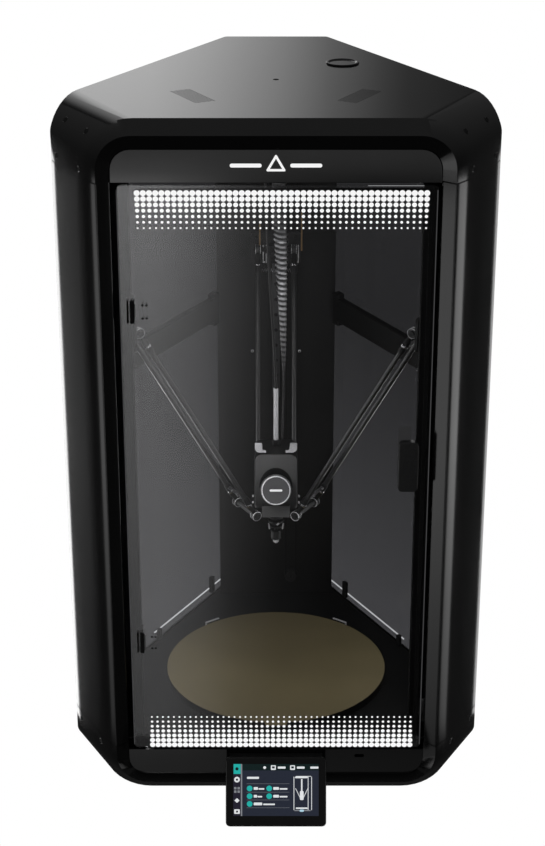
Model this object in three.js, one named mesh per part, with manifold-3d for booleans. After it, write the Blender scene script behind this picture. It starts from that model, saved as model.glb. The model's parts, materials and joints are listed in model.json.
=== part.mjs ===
// Enclosed delta 3D printer: a tall cabinet with three long sides and three narrow
// corners, a rail tower in each corner, and a print head hung from three arm pairs.
// Millimetres, +Z up, front door towards -Y. The origin is where the build plate's
// centre line meets the underside of the base.

import * as THREE from "three";
import { mergeVertices } from "three/addons/utils/BufferGeometryUtils.js";
import Module from "manifold-3d";

const wasm = await Module();
wasm.setup();

// ---------------------------------------------------------------- driving dimensions

const GAP = 0.3; // clearance between neighbouring pieces
const WALL = 3; // moulded cabinet wall

// cabinet
const BODY_HEIGHT = 983;
const SIDE_DISTANCE = 213; // build plate axis to each long side
const CORNER_DISTANCE = 306.5; // build plate axis to each narrow corner face
const PLAN_ANGLE = THREE.MathUtils.degToRad(61.35); // direction of the slanted faces
const CORNER_ROUNDING = 58; // between a front corner face and the top or the base
const EDGE_ROUNDING = 7; // upright edges of the cabinet
const EDGE_FACET = { width: 24, back: 2.6 }; // turned strip at the rear of each front corner face
const FRAME_BACK_Y = -190; // where the front frame joins the corner faces
const FRAME_FRONT_Y = -213; // most forward edge of the front frame
const DOOR_FRONT_Y = -200;
const SEAM_LOW = 80; // base to corner covers
const SEAM_HIGH = 905; // corner covers to top cap

// front frame loops: half width, lowest, highest, corner radius
const CREST = { half: 226.5, low: 21.5, high: 966, radius: 45 };
const MOUTH = { half: 210, low: 27, high: 946, radius: 27 };

// door
const DOOR = { left: -202, right: 205, low: 71, high: 899, thickness: 4, radius: 6 };
const HINGE_X = -190;
const HINGE_Y = -190;
const HINGE_HEIGHTS = { upper: 730, lower: 242 };
const HINGE = { half: 9.5, barrelRadius: 4.7, pinRadius: 2.5, leafLength: 8.5, leafThickness: 2.2 };

// delta mechanism
const COLUMN_FACE = 252; // build plate axis to the inner face of a tower column
const COLUMN_TOP = 965;
const RAIL = { width: 12, height: 8, low: 430, high: 935 };
const BELT_OFFSET = 24; // belt loop beside the rail
const BELT = { radius: 8, thickness: 1.4, width: 6, behind: 3.5, low: 115, high: 947 };
const MOTOR = { half: 21, depth: 38, boss: 11, shaft: 2.5 };
const ARM_SPACING = 53;
const CARRIAGE_PIVOT = { radius: 227, z: 678 };
const HEAD_PIVOT = { radius: 49, z: 365 };
const PIVOT_BAR_RADIUS = 4;
const PIVOT_BAR_REACH = 33; // to each side of a rail's centre line
const NOZZLE_TIP_Z = 297;
const INLET_TOP = 543; // where the filament tube enters the head

// bed
const PLATE_RADIUS = 165;
const PLATE_TOP = 91.5;
const DECK_TOP = 79;

const FOOT_HEIGHT = 26;

// touch screen
const SCREEN = { width: 142.5, height: 98.5, depth: 13, glass: 2, y: -243.3, z: 24.5 };
const SCREEN_LEAN = THREE.MathUtils.degToRad(23);

// ---------------------------------------------------------------- materials

const material = (color, roughness, metalness = 0) =>
  new THREE.MeshStandardMaterial({ color, roughness, metalness });
const SATIN_BLACK = material(0x17181a, 0.45);
const DEEP_BLACK = material(0x0b0b0c, 0.6);
const SMOKED = material(0x2a2b2d, 0.1);
const STEEL = material(0xb4b6b8, 0.3, 0.9);
const DARK_METAL = material(0x2b2c2e, 0.4, 0.8);
const CARBON = material(0x1a1a1b, 0.35, 0.2);
const BRASS = material(0xb08d4a, 0.35, 0.9);
const PEI = material(0x6b6246, 0.75, 0.2);
const RUBBER = material(0x101010, 0.9);
const BOARD_GREEN = material(0x1c4a33, 0.6);
const SCREEN_BLACK = material(0x060708, 0.12);

// ---------------------------------------------------------------- helpers

const p2 = (x, y) => new THREE.Vector2(x, y);
const p3 = (x, y, z) => new THREE.Vector3(x, y, z);

function toSolid(geometry) {
  const bare = geometry.clone();
  bare.deleteAttribute("normal");
  bare.deleteAttribute("uv");
  const merged = mergeVertices(bare, 1e-4);
  return new wasm.Manifold(new wasm.Mesh({
    numProp: 3,
    vertProperties: new Float32Array(merged.attributes.position.array),
    triVerts: new Uint32Array(merged.index.array),
  }));
}

function toGeometry(solid) {
  const mesh = solid.getMesh();
  const geometry = new THREE.BufferGeometry();
  geometry.setAttribute("position", new THREE.BufferAttribute(mesh.vertProperties, 3));
  geometry.setIndex(new THREE.BufferAttribute(mesh.triVerts, 1));
  geometry.computeVertexNormals();
  return geometry;
}

const join = (...geometries) =>
  toGeometry(geometries.map(toSolid).reduce((whole, next) => whole.add(next)));
const cut = (base, ...tools) =>
  toGeometry(tools.map(toSolid).reduce((left, tool) => left.subtract(tool), toSolid(base)));
const common = (...geometries) =>
  toGeometry(geometries.map(toSolid).reduce((left, next) => left.intersect(next)));

// A box given by its lowest and highest corners.
function block(x0, x1, y0, y1, z0, z1) {
  const geometry = new THREE.BoxGeometry(x1 - x0, y1 - y0, z1 - z0);
  return geometry.translate((x0 + x1) / 2, (y0 + y1) / 2, (z0 + z1) / 2);
}

// A round bar between two points.
function bar(from, to, radius, segments = 16) {
  const along = to.clone().sub(from);
  const geometry = new THREE.CylinderGeometry(radius, radius, along.length(), segments);
  const turn = new THREE.Quaternion().setFromUnitVectors(p3(0, 1, 0), along.clone().normalize());
  geometry.applyQuaternion(turn);
  return geometry.translate(...from.clone().add(to).multiplyScalar(0.5).toArray());
}

// Rounds the corners of a closed outline with true arcs.
function rounded(corners, radii, steps = 6) {
  const outline = [];
  corners.forEach((corner, i) => {
    const radius = Array.isArray(radii) ? radii[i] : radii;
    if (radius === 0) {
      outline.push(corner.clone());
      return;
    }
    const toBefore = corners.at(i - 1).clone().sub(corner).normalize();
    const toAfter = corners[(i + 1) % corners.length].clone().sub(corner).normalize();
    const halfAngle = Math.acos(toBefore.dot(toAfter)) / 2;
    const middle = toBefore.clone().add(toAfter).normalize();
    const centre = corner.clone().addScaledVector(middle, radius / Math.sin(halfAngle));
    const start = corner.clone().addScaledVector(toBefore, radius / Math.tan(halfAngle));
    const end = corner.clone().addScaledVector(toAfter, radius / Math.tan(halfAngle));
    const from = start.sub(centre).angle();
    let turn = end.sub(centre).angle() - from;
    turn -= 2 * Math.PI * Math.round(turn / (2 * Math.PI));
    for (let k = 0; k <= steps; k += 1) {
      const angle = from + (turn * k) / steps;
      outline.push(p2(centre.x + radius * Math.cos(angle), centre.y + radius * Math.sin(angle)));
    }
  });
  return outline;
}

const rectangle = (x0, x1, y0, y1) => [p2(x0, y0), p2(x1, y0), p2(x1, y1), p2(x0, y1)];

// An upright prism over an outline in plan.
function prism(outline, low, high, holes = []) {
  const shape = new THREE.Shape(outline);
  shape.holes = holes.map((hole) => new THREE.Path(hole));
  const geometry = new THREE.ExtrudeGeometry(shape, { depth: high - low, bevelEnabled: false });
  return geometry.translate(0, 0, low);
}

// A plate over an outline seen from the front (x, z), from yFront back to yBack.
function frontPlate(outline, yFront, yBack, holes = []) {
  return prism(outline, 0, yBack - yFront, holes).rotateX(Math.PI / 2).translate(0, yBack, 0);
}

function circle(radius, segments = 24, x = 0, y = 0) {
  return Array.from({ length: segments }, (_, i) => {
    const angle = (2 * Math.PI * i) / segments;
    return p2(x + radius * Math.cos(angle), y + radius * Math.sin(angle));
  });
}

// A turned piece about +Z from (radius, z) pairs.
const turned = (pairs, segments = 24) =>
  new THREE.LatheGeometry(pairs.map(([radius, z]) => p2(radius, z)), segments).rotateX(Math.PI / 2);

// The same piece on the other side of the cabinet.
function mirrored(geometry) {
  const copy = geometry.index ? geometry.toNonIndexed() : geometry.clone();
  const position = copy.attributes.position;
  for (let i = 0; i < position.count; i += 3) {
    const first = p3(0, 0, 0).fromBufferAttribute(position, i);
    const second = p3(0, 0, 0).fromBufferAttribute(position, i + 1);
    const third = p3(0, 0, 0).fromBufferAttribute(position, i + 2);
    position.setXYZ(i, -first.x, first.y, first.z);
    position.setXYZ(i + 1, -third.x, third.y, third.z);
    position.setXYZ(i + 2, -second.x, second.y, second.z);
  }
  return copy;
}

const printer = new THREE.Group();

function addPiece(name, geometry, look) {
  const mesh = new THREE.Mesh(geometry, look);
  mesh.name = name;
  printer.add(mesh);
}

// ---------------------------------------------------------------- cabinet outline

const SIDE_NORMAL = p2(Math.sin(PLAN_ANGLE), Math.cos(PLAN_ANGLE));
const CORNER_NORMAL = p2(Math.sin(PLAN_ANGLE), -Math.cos(PLAN_ANGLE));
const SIDE_ALONG = p2(-SIDE_NORMAL.y, SIDE_NORMAL.x); // from the front corner to the back
const CORNER_ALONG = p2(-CORNER_NORMAL.y, CORNER_NORMAL.x); // from the front frame to that corner

// Where a slanted face, given by its normal and distance, crosses a line of constant y.
const crossingX = (normal, distance, y) => (distance - normal.y * y) / normal.x;

function sideVertex(inset = 0) {
  const x = (SIDE_DISTANCE + CORNER_DISTANCE - 2 * inset) / (2 * SIDE_NORMAL.x);
  const y = (SIDE_DISTANCE - CORNER_DISTANCE) / (2 * SIDE_NORMAL.y);
  return p2(x, y);
}

function cabinetPlan(inset, frontY) {
  const backY = CORNER_DISTANCE - inset;
  const frontX = crossingX(CORNER_NORMAL, CORNER_DISTANCE - inset, frontY);
  const backX = crossingX(SIDE_NORMAL, SIDE_DISTANCE - inset, backY);
  const crease = sideVertex(inset).addScaledVector(CORNER_ALONG, -EDGE_FACET.width);
  const side = sideVertex(inset).addScaledVector(SIDE_ALONG, EDGE_FACET.back);
  const right = [p2(frontX, frontY), crease, side, p2(backX, backY)];
  const left = right.map((point) => p2(-point.x, point.y)).reverse();
  const edge = EDGE_ROUNDING - inset;
  return rounded([...right, ...left], [0, 0, edge, edge, edge, edge, 0, 0], 4);
}

// A long bar along one front corner face, rounded into the top and the base.
function cornerEnvelope(inset, side) {
  const reach = CORNER_DISTANCE - inset;
  const back = -2 * CORNER_DISTANCE;
  const corners = [p2(back, inset), p2(reach, inset), p2(reach, BODY_HEIGHT - inset),
    p2(back, BODY_HEIGHT - inset)];
  const radius = CORNER_ROUNDING - inset;
  const profile = rounded(corners, [0, radius, radius, 0], 10);
  const length = 3 * CORNER_DISTANCE;
  const normal = p3(side * CORNER_NORMAL.x, CORNER_NORMAL.y, 0);
  const up = p3(0, 0, 1);
  const basis = new THREE.Matrix4().makeBasis(normal, up, normal.clone().cross(up));
  return prism(profile, -length / 2, length / 2).applyMatrix4(basis);
}

function cabinetSolid(inset, frontY) {
  const upright = prism(cabinetPlan(inset, frontY), inset, BODY_HEIGHT - inset);
  return common(upright, cornerEnvelope(inset, 1), cornerEnvelope(inset, -1));
}

// ---------------------------------------------------------------- front frame

// A loop of points (x, z) with elliptical corners, always with the same point count.
function frameLoop({ half, low, high, radius }, radiusX = radius, steps = 10) {
  const centres = [[half - radiusX, low + radius, -90], [half - radiusX, high - radius, 0],
    [radiusX - half, high - radius, 90], [radiusX - half, low + radius, 180]];
  return centres.flatMap(([x, z, start]) => Array.from({ length: steps + 1 }, (_, k) => {
    const angle = THREE.MathUtils.degToRad(start + (90 * k) / steps);
    return p2(x + radiusX * Math.cos(angle), z + radius * Math.sin(angle));
  }));
}

// A closed ring skinned through loops that all have the same number of points.
function skinRing(loops) {
  const count = loops[0].points.length;
  const vertices = loops.flatMap(({ points, y }) => points.flatMap((point) => [point.x, y, point.y]));
  const faces = [];
  loops.forEach((_, i) => {
    const here = i * count;
    const next = ((i + 1) % loops.length) * count;
    for (let k = 0; k < count; k += 1) {
      const after = (k + 1) % count;
      faces.push(here + k, here + after, next + k, here + after, next + after, next + k);
    }
  });
  const geometry = new THREE.BufferGeometry();
  geometry.setAttribute("position", new THREE.Float32BufferAttribute(vertices, 3));
  geometry.setIndex(faces);
  return geometry;
}

function frontFrame() {
  const depth = 14; // of the mouth's inner wall
  const outerHalf = crossingX(CORNER_NORMAL, CORNER_DISTANCE, FRAME_BACK_Y);
  const outer = { half: outerHalf, low: 0, high: BODY_HEIGHT, radius: CORNER_ROUNDING };
  const inner = { half: outerHalf - 2 * WALL, low: 2 * WALL, high: BODY_HEIGHT - 2 * WALL,
    radius: CORNER_ROUNDING - 2 * WALL };
  const stretch = 1 / CORNER_NORMAL.x; // the corner face meets this plane at a slant
  return skinRing([
    { y: FRAME_BACK_Y, points: frameLoop(outer, outer.radius * stretch) },
    { y: FRAME_FRONT_Y, points: frameLoop(CREST) },
    { y: DOOR_FRONT_Y, points: frameLoop(MOUTH) },
    { y: DOOR_FRONT_Y + depth, points: frameLoop(MOUTH) },
    { y: FRAME_BACK_Y + WALL, points: frameLoop(inner, inner.radius * stretch) },
  ]);
}

const FAR = 700; // beyond the cabinet in every direction

function cabinetShell() {
  const outer = cabinetSolid(0, FRAME_BACK_Y);
  const hollow = cabinetSolid(WALL, FRAME_BACK_Y - WALL);
  return join(cut(outer, hollow), frontFrame());
}

const SHELL = cabinetShell();
const slice = (low, high) => common(SHELL, block(-FAR, FAR, -FAR, FAR, low, high));

// ---------------------------------------------------------------- cabinet pieces

const PANEL = { from: 18, thickness: 4 }; // side panel, from its front corner
const SIDE_LENGTH = sideVertex().distanceTo(
  p2(crossingX(SIDE_NORMAL, SIDE_DISTANCE, CORNER_DISTANCE), CORNER_DISTANCE));
const PANEL_TO = SIDE_LENGTH - 24;

// A point beside the right-hand side face: along it from the front, and from the axis.
function sidePoint(along, distance) {
  const point = sideVertex().addScaledVector(SIDE_ALONG, along);
  return point.addScaledVector(SIDE_NORMAL, distance - SIDE_DISTANCE);
}

function sideStrip(from, to, inner, outer, low, high) {
  const outline = [sidePoint(from, inner), sidePoint(from, outer), sidePoint(to, outer),
    sidePoint(to, inner)];
  return prism(outline, low, high);
}

const PORT = { x: 93, y: 125, radius: 23.5 };

function addTopCap() {
  const cap = slice(SEAM_HIGH + GAP / 2, BODY_HEIGHT);
  const through = (x, y, radius) =>
    prism(circle(radius, 24, x, y), BODY_HEIGHT - 2 * WALL, BODY_HEIGHT + WALL);
  const holes = [through(PORT.x, PORT.y, PORT.radius - 3.5), through(0, 23, 2.4)];
  addPiece("top_cap", cut(cap, ...holes), SATIN_BLACK);

  const inner = PORT.radius - 4;
  const grommet = turned([
    [0, -2], [inner - 1, -2], [inner - 1, -5], [inner, -5], [inner, 0.3],
    [PORT.radius, 0.3], [PORT.radius - 0.6, 2.2], [inner + 0.6, 2.2], [inner - 1.5, 0.5], [0, 0.5],
  ]);
  addPiece("port_grommet", grommet.translate(PORT.x, PORT.y, BODY_HEIGHT), RUBBER);
}

const INLET = { x0: -42, x1: 32, z0: 24, z1: 56 };
const FEET = [["rubber_foot_left", -205, -105], ["rubber_foot_right", 205, -105],
  ["rubber_foot_rear", 0, 262]];

function addBase() {
  const stub = 4;
  const window = block(INLET.x0, INLET.x1, CORNER_DISTANCE - 3 * WALL, FAR, INLET.z0, INLET.z1);
  const holes = FEET.map(([, x, y]) => prism(circle(stub + GAP, 16, x, y), -1, 2 * WALL));
  addPiece("base_pan", cut(slice(0, SEAM_LOW - GAP / 2), window, ...holes), SATIN_BLACK);

  FEET.forEach(([name, x, y]) => {
    const foot = turned([[0, -FOOT_HEIGHT], [20, -FOOT_HEIGHT], [22, -FOOT_HEIGHT + 2], [18, -GAP],
      [stub, -GAP], [stub, 2 * WALL], [0, 2 * WALL]], 16);
    addPiece(name, foot.translate(x, y, 0), RUBBER);
  });
}

function addCornerCovers() {
  const deep = 3 * WALL;
  const window = sideStrip(PANEL.from, PANEL_TO, SIDE_DISTANCE - deep, SIDE_DISTANCE + deep, 0,
    BODY_HEIGHT);
  const middle = cut(slice(SEAM_LOW + GAP / 2, SEAM_HIGH - GAP / 2), window, mirrored(window));
  const right = common(middle, block(5, FAR, -FAR, CORNER_DISTANCE / 3, 0, FAR * 2));
  addPiece("corner_cover_right", right, SATIN_BLACK);
  addPiece("corner_cover_left", mirrored(right), SATIN_BLACK);
  const rear = common(middle, block(-FAR, FAR, CORNER_DISTANCE / 2, FAR, 0, FAR * 2));
  addPiece("rear_cover", rear, SATIN_BLACK);
}

function addSidePanels() {
  const panel = sideStrip(PANEL.from + GAP, PANEL_TO - GAP, SIDE_DISTANCE - PANEL.thickness,
    SIDE_DISTANCE, SEAM_LOW + GAP, SEAM_HIGH - GAP);
  addPiece("side_panel_right", panel, SMOKED);
  addPiece("side_panel_left", mirrored(panel), SMOKED);

  const brace = { from: 60, to: 400, inner: 193, outer: 205, low: 560, high: 597 };
  const ear = { length: 16, proud: 7 };
  const beam = sideStrip(brace.from, brace.to, brace.inner, brace.outer, brace.low, brace.high);
  const ends = sideStrip(brace.to - ear.length, brace.to, brace.inner, brace.outer,
    brace.low - ear.proud, brace.high + ear.proud);
  addPiece("side_brace_right", join(beam, ends), DEEP_BLACK);
  addPiece("side_brace_left", mirrored(join(beam, ends)), DEEP_BLACK);
}

function addFrontPanels() {
  const margin = 0.5;
  const half = MOUTH.half - margin;
  const corner = MOUTH.radius - margin;
  const back = DOOR_FRONT_Y + DOOR.thickness;
  const seam = 3; // above and below the door
  const header = rounded(rectangle(-half, half, DOOR.high + seam, MOUTH.high - margin),
    [0, 0, corner, corner]);
  addPiece("header_panel", frontPlate(header, DOOR_FRONT_Y, back), SATIN_BLACK);

  const slot = rounded(rectangle(112, 126, 55, 60), 2.4, 3);
  const chin = rounded(rectangle(-half, half, MOUTH.low + margin, DOOR.low - seam),
    [corner, corner, 0, 0]);
  addPiece("chin_panel", frontPlate(chin, DOOR_FRONT_Y, back, [slot]), SATIN_BLACK);
}

// ---------------------------------------------------------------- door

function addDoor() {
  const back = DOOR_FRONT_Y + DOOR.thickness;
  const pane = rounded(rectangle(DOOR.left, DOOR.right, DOOR.low, DOOR.high), DOOR.radius, 4);
  addPiece("door_glass", frontPlate(pane, DOOR_FRONT_Y, back), SMOKED);

  const grip = { x0: 163, x1: 190, z0: 478, z1: 550, reach: 11 };
  const outer = rounded(rectangle(grip.x0, grip.x1, grip.z0, grip.z1), 6, 4);
  const body = frontPlate(outer, DOOR_FRONT_Y - grip.reach, DOOR_FRONT_Y - GAP);
  const scoopOutline = rounded(rectangle(grip.x0 - 5, grip.x1 - 7, grip.z0 + 8, grip.z1 - 8), 4, 3);
  const scoop = frontPlate(scoopOutline, DOOR_FRONT_Y - 7, DOOR_FRONT_Y - 2.5);
  addPiece("door_handle", cut(body, scoop), DEEP_BLACK);

  Object.entries(HINGE_HEIGHTS).forEach(([name, z]) => {
    const { half, barrelRadius, pinRadius, leafLength, leafThickness } = HINGE;
    const barrel = prism(circle(barrelRadius, 16, HINGE_X, HINGE_Y), z - half, z + half);
    const leaf = block(HINGE_X, HINGE_X + leafLength, back + GAP, back + GAP + leafThickness,
      z - half, z + half);
    const bore = prism(circle(pinRadius + GAP, 12, HINGE_X, HINGE_Y), z - 2 * half, z + 2 * half);
    addPiece(`door_hinge_${name}`, cut(join(barrel, leaf), bore), DEEP_BLACK);
  });
}

// The fork and pin that carry one door hinge, on the left tower column.
function hingeFork(z) {
  const eye = HINGE.half + 0.5;
  const tip = 16;
  const radius = 4.5;
  const reach = 14;
  const pin = prism(circle(HINGE.pinRadius, 12, HINGE_X, HINGE_Y), z - tip + 1, z + tip - 1);
  const ears = [-1, 1].flatMap((side) => {
    const [low, high] = [z + side * eye, z + side * tip].sort((a, b) => a - b);
    return [prism(circle(radius, 16, HINGE_X, HINGE_Y), low, high),
      block(HINGE_X, HINGE_X + radius, HINGE_Y, HINGE_Y + reach, low, high)];
  });
  return join(pin, ...ears);
}

// ---------------------------------------------------------------- delta mechanism
// Tower pieces are drawn for the rear tower, whose rail looks along -Y, then turned.

// The columns reach minus and plus to each side of their rail; only a wide side has a flange.
const COLUMN = { rear: 91, wide: 86, narrow: 62, flange: 20, sheet: 2.5 };
const TOWERS = [
  { name: "rear", turn: 0, minus: COLUMN.rear, plus: COLUMN.rear },
  { name: "right", turn: -2 * Math.PI / 3, minus: COLUMN.wide, plus: COLUMN.narrow },
  { name: "left", turn: 2 * Math.PI / 3, minus: COLUMN.narrow, plus: COLUMN.wide },
];

// The folded edge of a column, on the given side, running back beside the long cabinet side.
function columnFlange(side, half, low) {
  const { flange, sheet } = COLUMN;
  const lean = flange / Math.tan(PLAN_ANGLE);
  return prism([
    p2(side * half, COLUMN_FACE),
    p2(side * (half - lean), COLUMN_FACE + flange),
    p2(side * (half - lean - sheet), COLUMN_FACE + flange),
    p2(side * (half - sheet - 1), COLUMN_FACE),
  ], low, COLUMN_TOP);
}

function towerColumn({ name, turn, minus, plus }) {
  const low = DECK_TOP + GAP;
  const parts = [block(-minus, plus, COLUMN_FACE, COLUMN_FACE + COLUMN.sheet, low, COLUMN_TOP)];
  if (plus > COLUMN.narrow) parts.push(columnFlange(1, plus, low));
  if (minus > COLUMN.narrow) parts.push(columnFlange(-1, minus, low));
  const across = (z, from, to, radius) =>
    bar(p3(BELT_OFFSET, COLUMN_FACE + from, z), p3(BELT_OFFSET, COLUMN_FACE + to, z), radius, 16);
  const motorHole = across(BELT.low, -1, 9, MOTOR.boss + 1);
  const idlerPin = across(BELT.high, -12, 1, MOTOR.shaft);
  const column = join(cut(join(...parts), motorHole), idlerPin).rotateZ(turn);
  if (name !== "left") return column;
  return join(column, ...Object.values(HINGE_HEIGHTS).map(hingeFork));
}

function beltLoop() {
  const side = (radius) => {
    const half = (start, z) => Array.from({ length: 9 }, (_, k) => {
      const angle = start + (Math.PI * k) / 8;
      return p2(BELT_OFFSET + radius * Math.cos(angle), z + radius * Math.sin(angle));
    });
    return [...half(0, BELT.high), ...half(Math.PI, BELT.low)];
  };
  const front = COLUMN_FACE - BELT.behind - BELT.width;
  return frontPlate(side(BELT.radius + BELT.thickness / 2), front, front + BELT.width,
    [side(BELT.radius - BELT.thickness / 2)]);
}

// A flanged pulley around a motor shaft or idler pin, at the given height on its tower.
function pulley(z) {
  const seat = BELT.radius - BELT.thickness / 2 - GAP;
  const flange = BELT.radius + 1.5;
  const bore = MOTOR.shaft + GAP;
  const rim = 1;
  const long = BELT.width + 3.4;
  const profile = [[bore, 0], [flange, 0], [flange, rim], [seat, rim], [seat, long - rim],
    [flange, long - rim], [flange, long], [bore, long], [bore, 0]];
  return turned(profile, 14).rotateX(Math.PI / 2).translate(BELT_OFFSET, COLUMN_FACE - 1.8, z);
}

function stepperMotor() {
  const { half, depth, boss, shaft } = MOTOR;
  const outline = rounded(
    rectangle(BELT_OFFSET - half, BELT_OFFSET + half, BELT.low - half, BELT.low + half), 4, 2);
  const face = COLUMN_FACE + COLUMN.sheet + GAP;
  const at = (y) => p3(BELT_OFFSET, y, BELT.low);
  return join(frontPlate(outline, face, face + depth), bar(at(face - 2), at(face + 1), boss, 20),
    bar(at(COLUMN_FACE - 11), at(face), shaft, 12));
}

function carriage() {
  const { radius, z } = CARRIAGE_PIVOT;
  const plateBack = COLUMN_FACE - 13;
  const plateFront = plateBack - 4.5;
  const groove = RAIL.width / 2 + GAP;
  const room = 60; // clear height of what is cut away
  const runner = block(-13.5, 13.5, plateBack - 1, COLUMN_FACE - GAP, z - 22, z + 22);
  const plateOutline = rounded(rectangle(-38, 38, z - 25, z + 25), 7, 3);
  const plate = frontPlate(plateOutline, plateFront, plateBack);
  const lug = block(-17, 17, radius - 3, plateBack - 1, z - 6, z + 6);
  const pivot = bar(p3(-PIVOT_BAR_REACH, radius, z), p3(PIVOT_BAR_REACH, radius, z), PIVOT_BAR_RADIUS, 14);
  const clamp = block(13, 21, plateBack - 1, COLUMN_FACE - 1, z - 14, z + 14);
  const railRoom = block(-groove, groove, COLUMN_FACE - RAIL.height - GAP, COLUMN_FACE + 1,
    z - room, z + room);
  const run = BELT_OFFSET - BELT.radius;
  const beltFront = COLUMN_FACE - BELT.behind - BELT.width;
  const beltRoom = block(run - 1, run + 1, beltFront - GAP, COLUMN_FACE + 1, z - room, z + room);
  return cut(join(runner, plate, lug, pivot, clamp), railRoom, beltRoom);
}

// Two parallel arms with an eye at each end, tied together by two springs.
function armPair() {
  const [low, high] = [HEAD_PIVOT, CARRIAGE_PIVOT];
  const eye = { radius: 7, half: 4.5 };
  const at = (x, t) => p3(x, THREE.MathUtils.lerp(low.radius, high.radius, t),
    THREE.MathUtils.lerp(low.z, high.z, t));
  const across = (t, from, to, radius, segments) => bar(at(from, t), at(to, t), radius, segments);
  const springs = [0.1, 0.9].map((t) => across(t, -ARM_SPACING / 2, ARM_SPACING / 2, 1.5, 6));
  const arms = [-1, 1].flatMap((side) => {
    const x = (side * ARM_SPACING) / 2;
    const sleeve = 0.085; // share of the length that each end sleeve covers
    return [bar(at(x, 0), at(x, 1), 3.6, 8), bar(at(x, 0), at(x, sleeve), 5, 8),
      bar(at(x, 1 - sleeve), at(x, 1), 5, 8),
      ...[0, 1].map((t) => across(t, x - eye.half, x + eye.half, eye.radius, 12))];
  });
  const bores = [-1, 1].flatMap((side) => [0, 1].map((t) => {
    const x = (side * ARM_SPACING) / 2;
    return across(t, x - 2 * eye.half, x + 2 * eye.half, PIVOT_BAR_RADIUS + GAP, 10);
  }));
  return cut(join(...springs, ...arms), ...bores);
}

function addTowers() {
  TOWERS.forEach((tower) => {
    const { name, turn } = tower;
    const place = (piece, geometry, look) => addPiece(`${piece}_${name}`, geometry.rotateZ(turn), look);
    addPiece(`tower_column_${name}`, towerColumn(tower), DEEP_BLACK);
    place("linear_rail", block(-RAIL.width / 2, RAIL.width / 2, COLUMN_FACE - RAIL.height,
      COLUMN_FACE - GAP, RAIL.low, RAIL.high), STEEL);
    place("drive_belt", beltLoop(), RUBBER);
    place("drive_pulley", pulley(BELT.low), STEEL);
    place("idler_pulley", pulley(BELT.high), STEEL);
    place("stepper_motor", stepperMotor(), DARK_METAL);
    place("carriage", carriage(), DARK_METAL);
    place("arm_pair", armPair(), CARBON);
  });
}

// ---------------------------------------------------------------- print head

const HEAD_SHELL = { half: 31, front: -45, back: 20, low: HEAD_PIVOT.z + 9.5, high: 455, wall: 2.5 };
const FAN = { centre: p3(0, -55, 409), lean: THREE.MathUtils.degToRad(20), radius: 22.5 };

// Sets a piece drawn about +Z onto the fan's axis, with +Z facing out of the head.
function onFanAxis(geometry) {
  return geometry.rotateX(Math.PI / 2 - FAN.lean).translate(...FAN.centre.toArray());
}

function effectorPlate() {
  const { radius, z } = HEAD_PIVOT;
  const half = 4;
  const disc = prism(circle(36, 24), z - half, z + half);
  const lugs = TOWERS.flatMap(({ turn }) => [
    block(-16, 16, 20, radius + 2, z - half, z + half).rotateZ(turn),
    bar(p3(-PIVOT_BAR_REACH, radius, z), p3(PIVOT_BAR_REACH, radius, z), PIVOT_BAR_RADIUS, 14)
      .rotateZ(turn),
  ]);
  const boss = prism(circle(20, 24), z, HEAD_SHELL.low - GAP);
  const bore = prism(circle(13, 20), z - 20, z + 20);
  return cut(join(disc, boss, ...lugs), bore);
}

function headShell() {
  const { half, front, back, low, high, wall } = HEAD_SHELL;
  const plan = (inset) => rounded(
    rectangle(-half + inset, half - inset, front + inset, back - inset), 8 - inset, 3);
  const outer = prism(plan(0), low, high);
  const inner = prism(plan(wall), low - 1, high - wall);
  const crownOutline = rounded(rectangle(-half, half, 0, high), [0, 0, 10, 10], 4);
  const crown = frontPlate(crownOutline, front - 1, back + 1);
  const fanSeat = onFanAxis(prism(circle(FAN.radius, 28), -22, 0));
  const airHole = onFanAxis(prism(circle(FAN.radius - 5, 20), -30, 5));
  const duct = block(-20, 20, front - 4, front + 6, low - 12, low + 6);
  const ductMouth = block(-17, 17, front - 2, front + 4, low - 20, low + 20);
  const tubeHole = prism(circle(4.2, 14), high - 2 * wall, high + 5);
  const shell = cut(join(common(outer, crown), fanSeat), inner);
  return cut(join(shell, duct), ductMouth, airHole, tubeHole);
}

function fanCover() {
  const rim = FAN.radius - 0.5;
  const edge = 2;
  const high = 11;
  const profile = [[0, high - edge], [rim - edge, high - edge], [rim - edge, GAP], [rim, GAP],
    [rim, high - edge], [rim - edge, high], [0, high]];
  return onFanAxis(turned(profile, 28));
}

function fanRotor() {
  const [low, high] = [1.4, 7.6];
  const blade = block(5, 17.5, -0.6, 0.6, low, high - 0.6);
  const count = 7;
  const blades = Array.from({ length: count }, (_, i) =>
    blade.clone().rotateZ((2 * Math.PI * i) / count));
  return onFanAxis(join(prism(circle(7, 14), low, high), ...blades));
}

// Nozzle, heater block, finned heat sink and the filament inlet, turned in one.
function hotend() {
  const tip = NOZZLE_TIP_Z;
  const neck = 6;
  const sink = { low: tip + 29, radius: 11.5, fin: 2.5, pitch: 7, count: 4 };
  const heater = { radius: 7.5, low: tip + 8, high: tip + 22 };
  const inlet = 3.6;
  const fins = Array.from({ length: sink.count }, (_, i) => {
    const z = sink.low + i * sink.pitch;
    return [[sink.radius, z], [sink.radius, z + sink.fin], [neck, z + sink.fin], [neck, z + sink.pitch]];
  }).flat();
  return turned([
    [0, tip], [0.8, tip], [3.4, tip + 4], [3.4, heater.low], [heater.radius, heater.low],
    [heater.radius, heater.high], [3, heater.high], [3, sink.low], ...fins,
    [neck, HEAD_SHELL.high - 10], [inlet, HEAD_SHELL.high - 8], [inlet, INLET_TOP], [0, INLET_TOP],
  ], 12);
}

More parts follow.
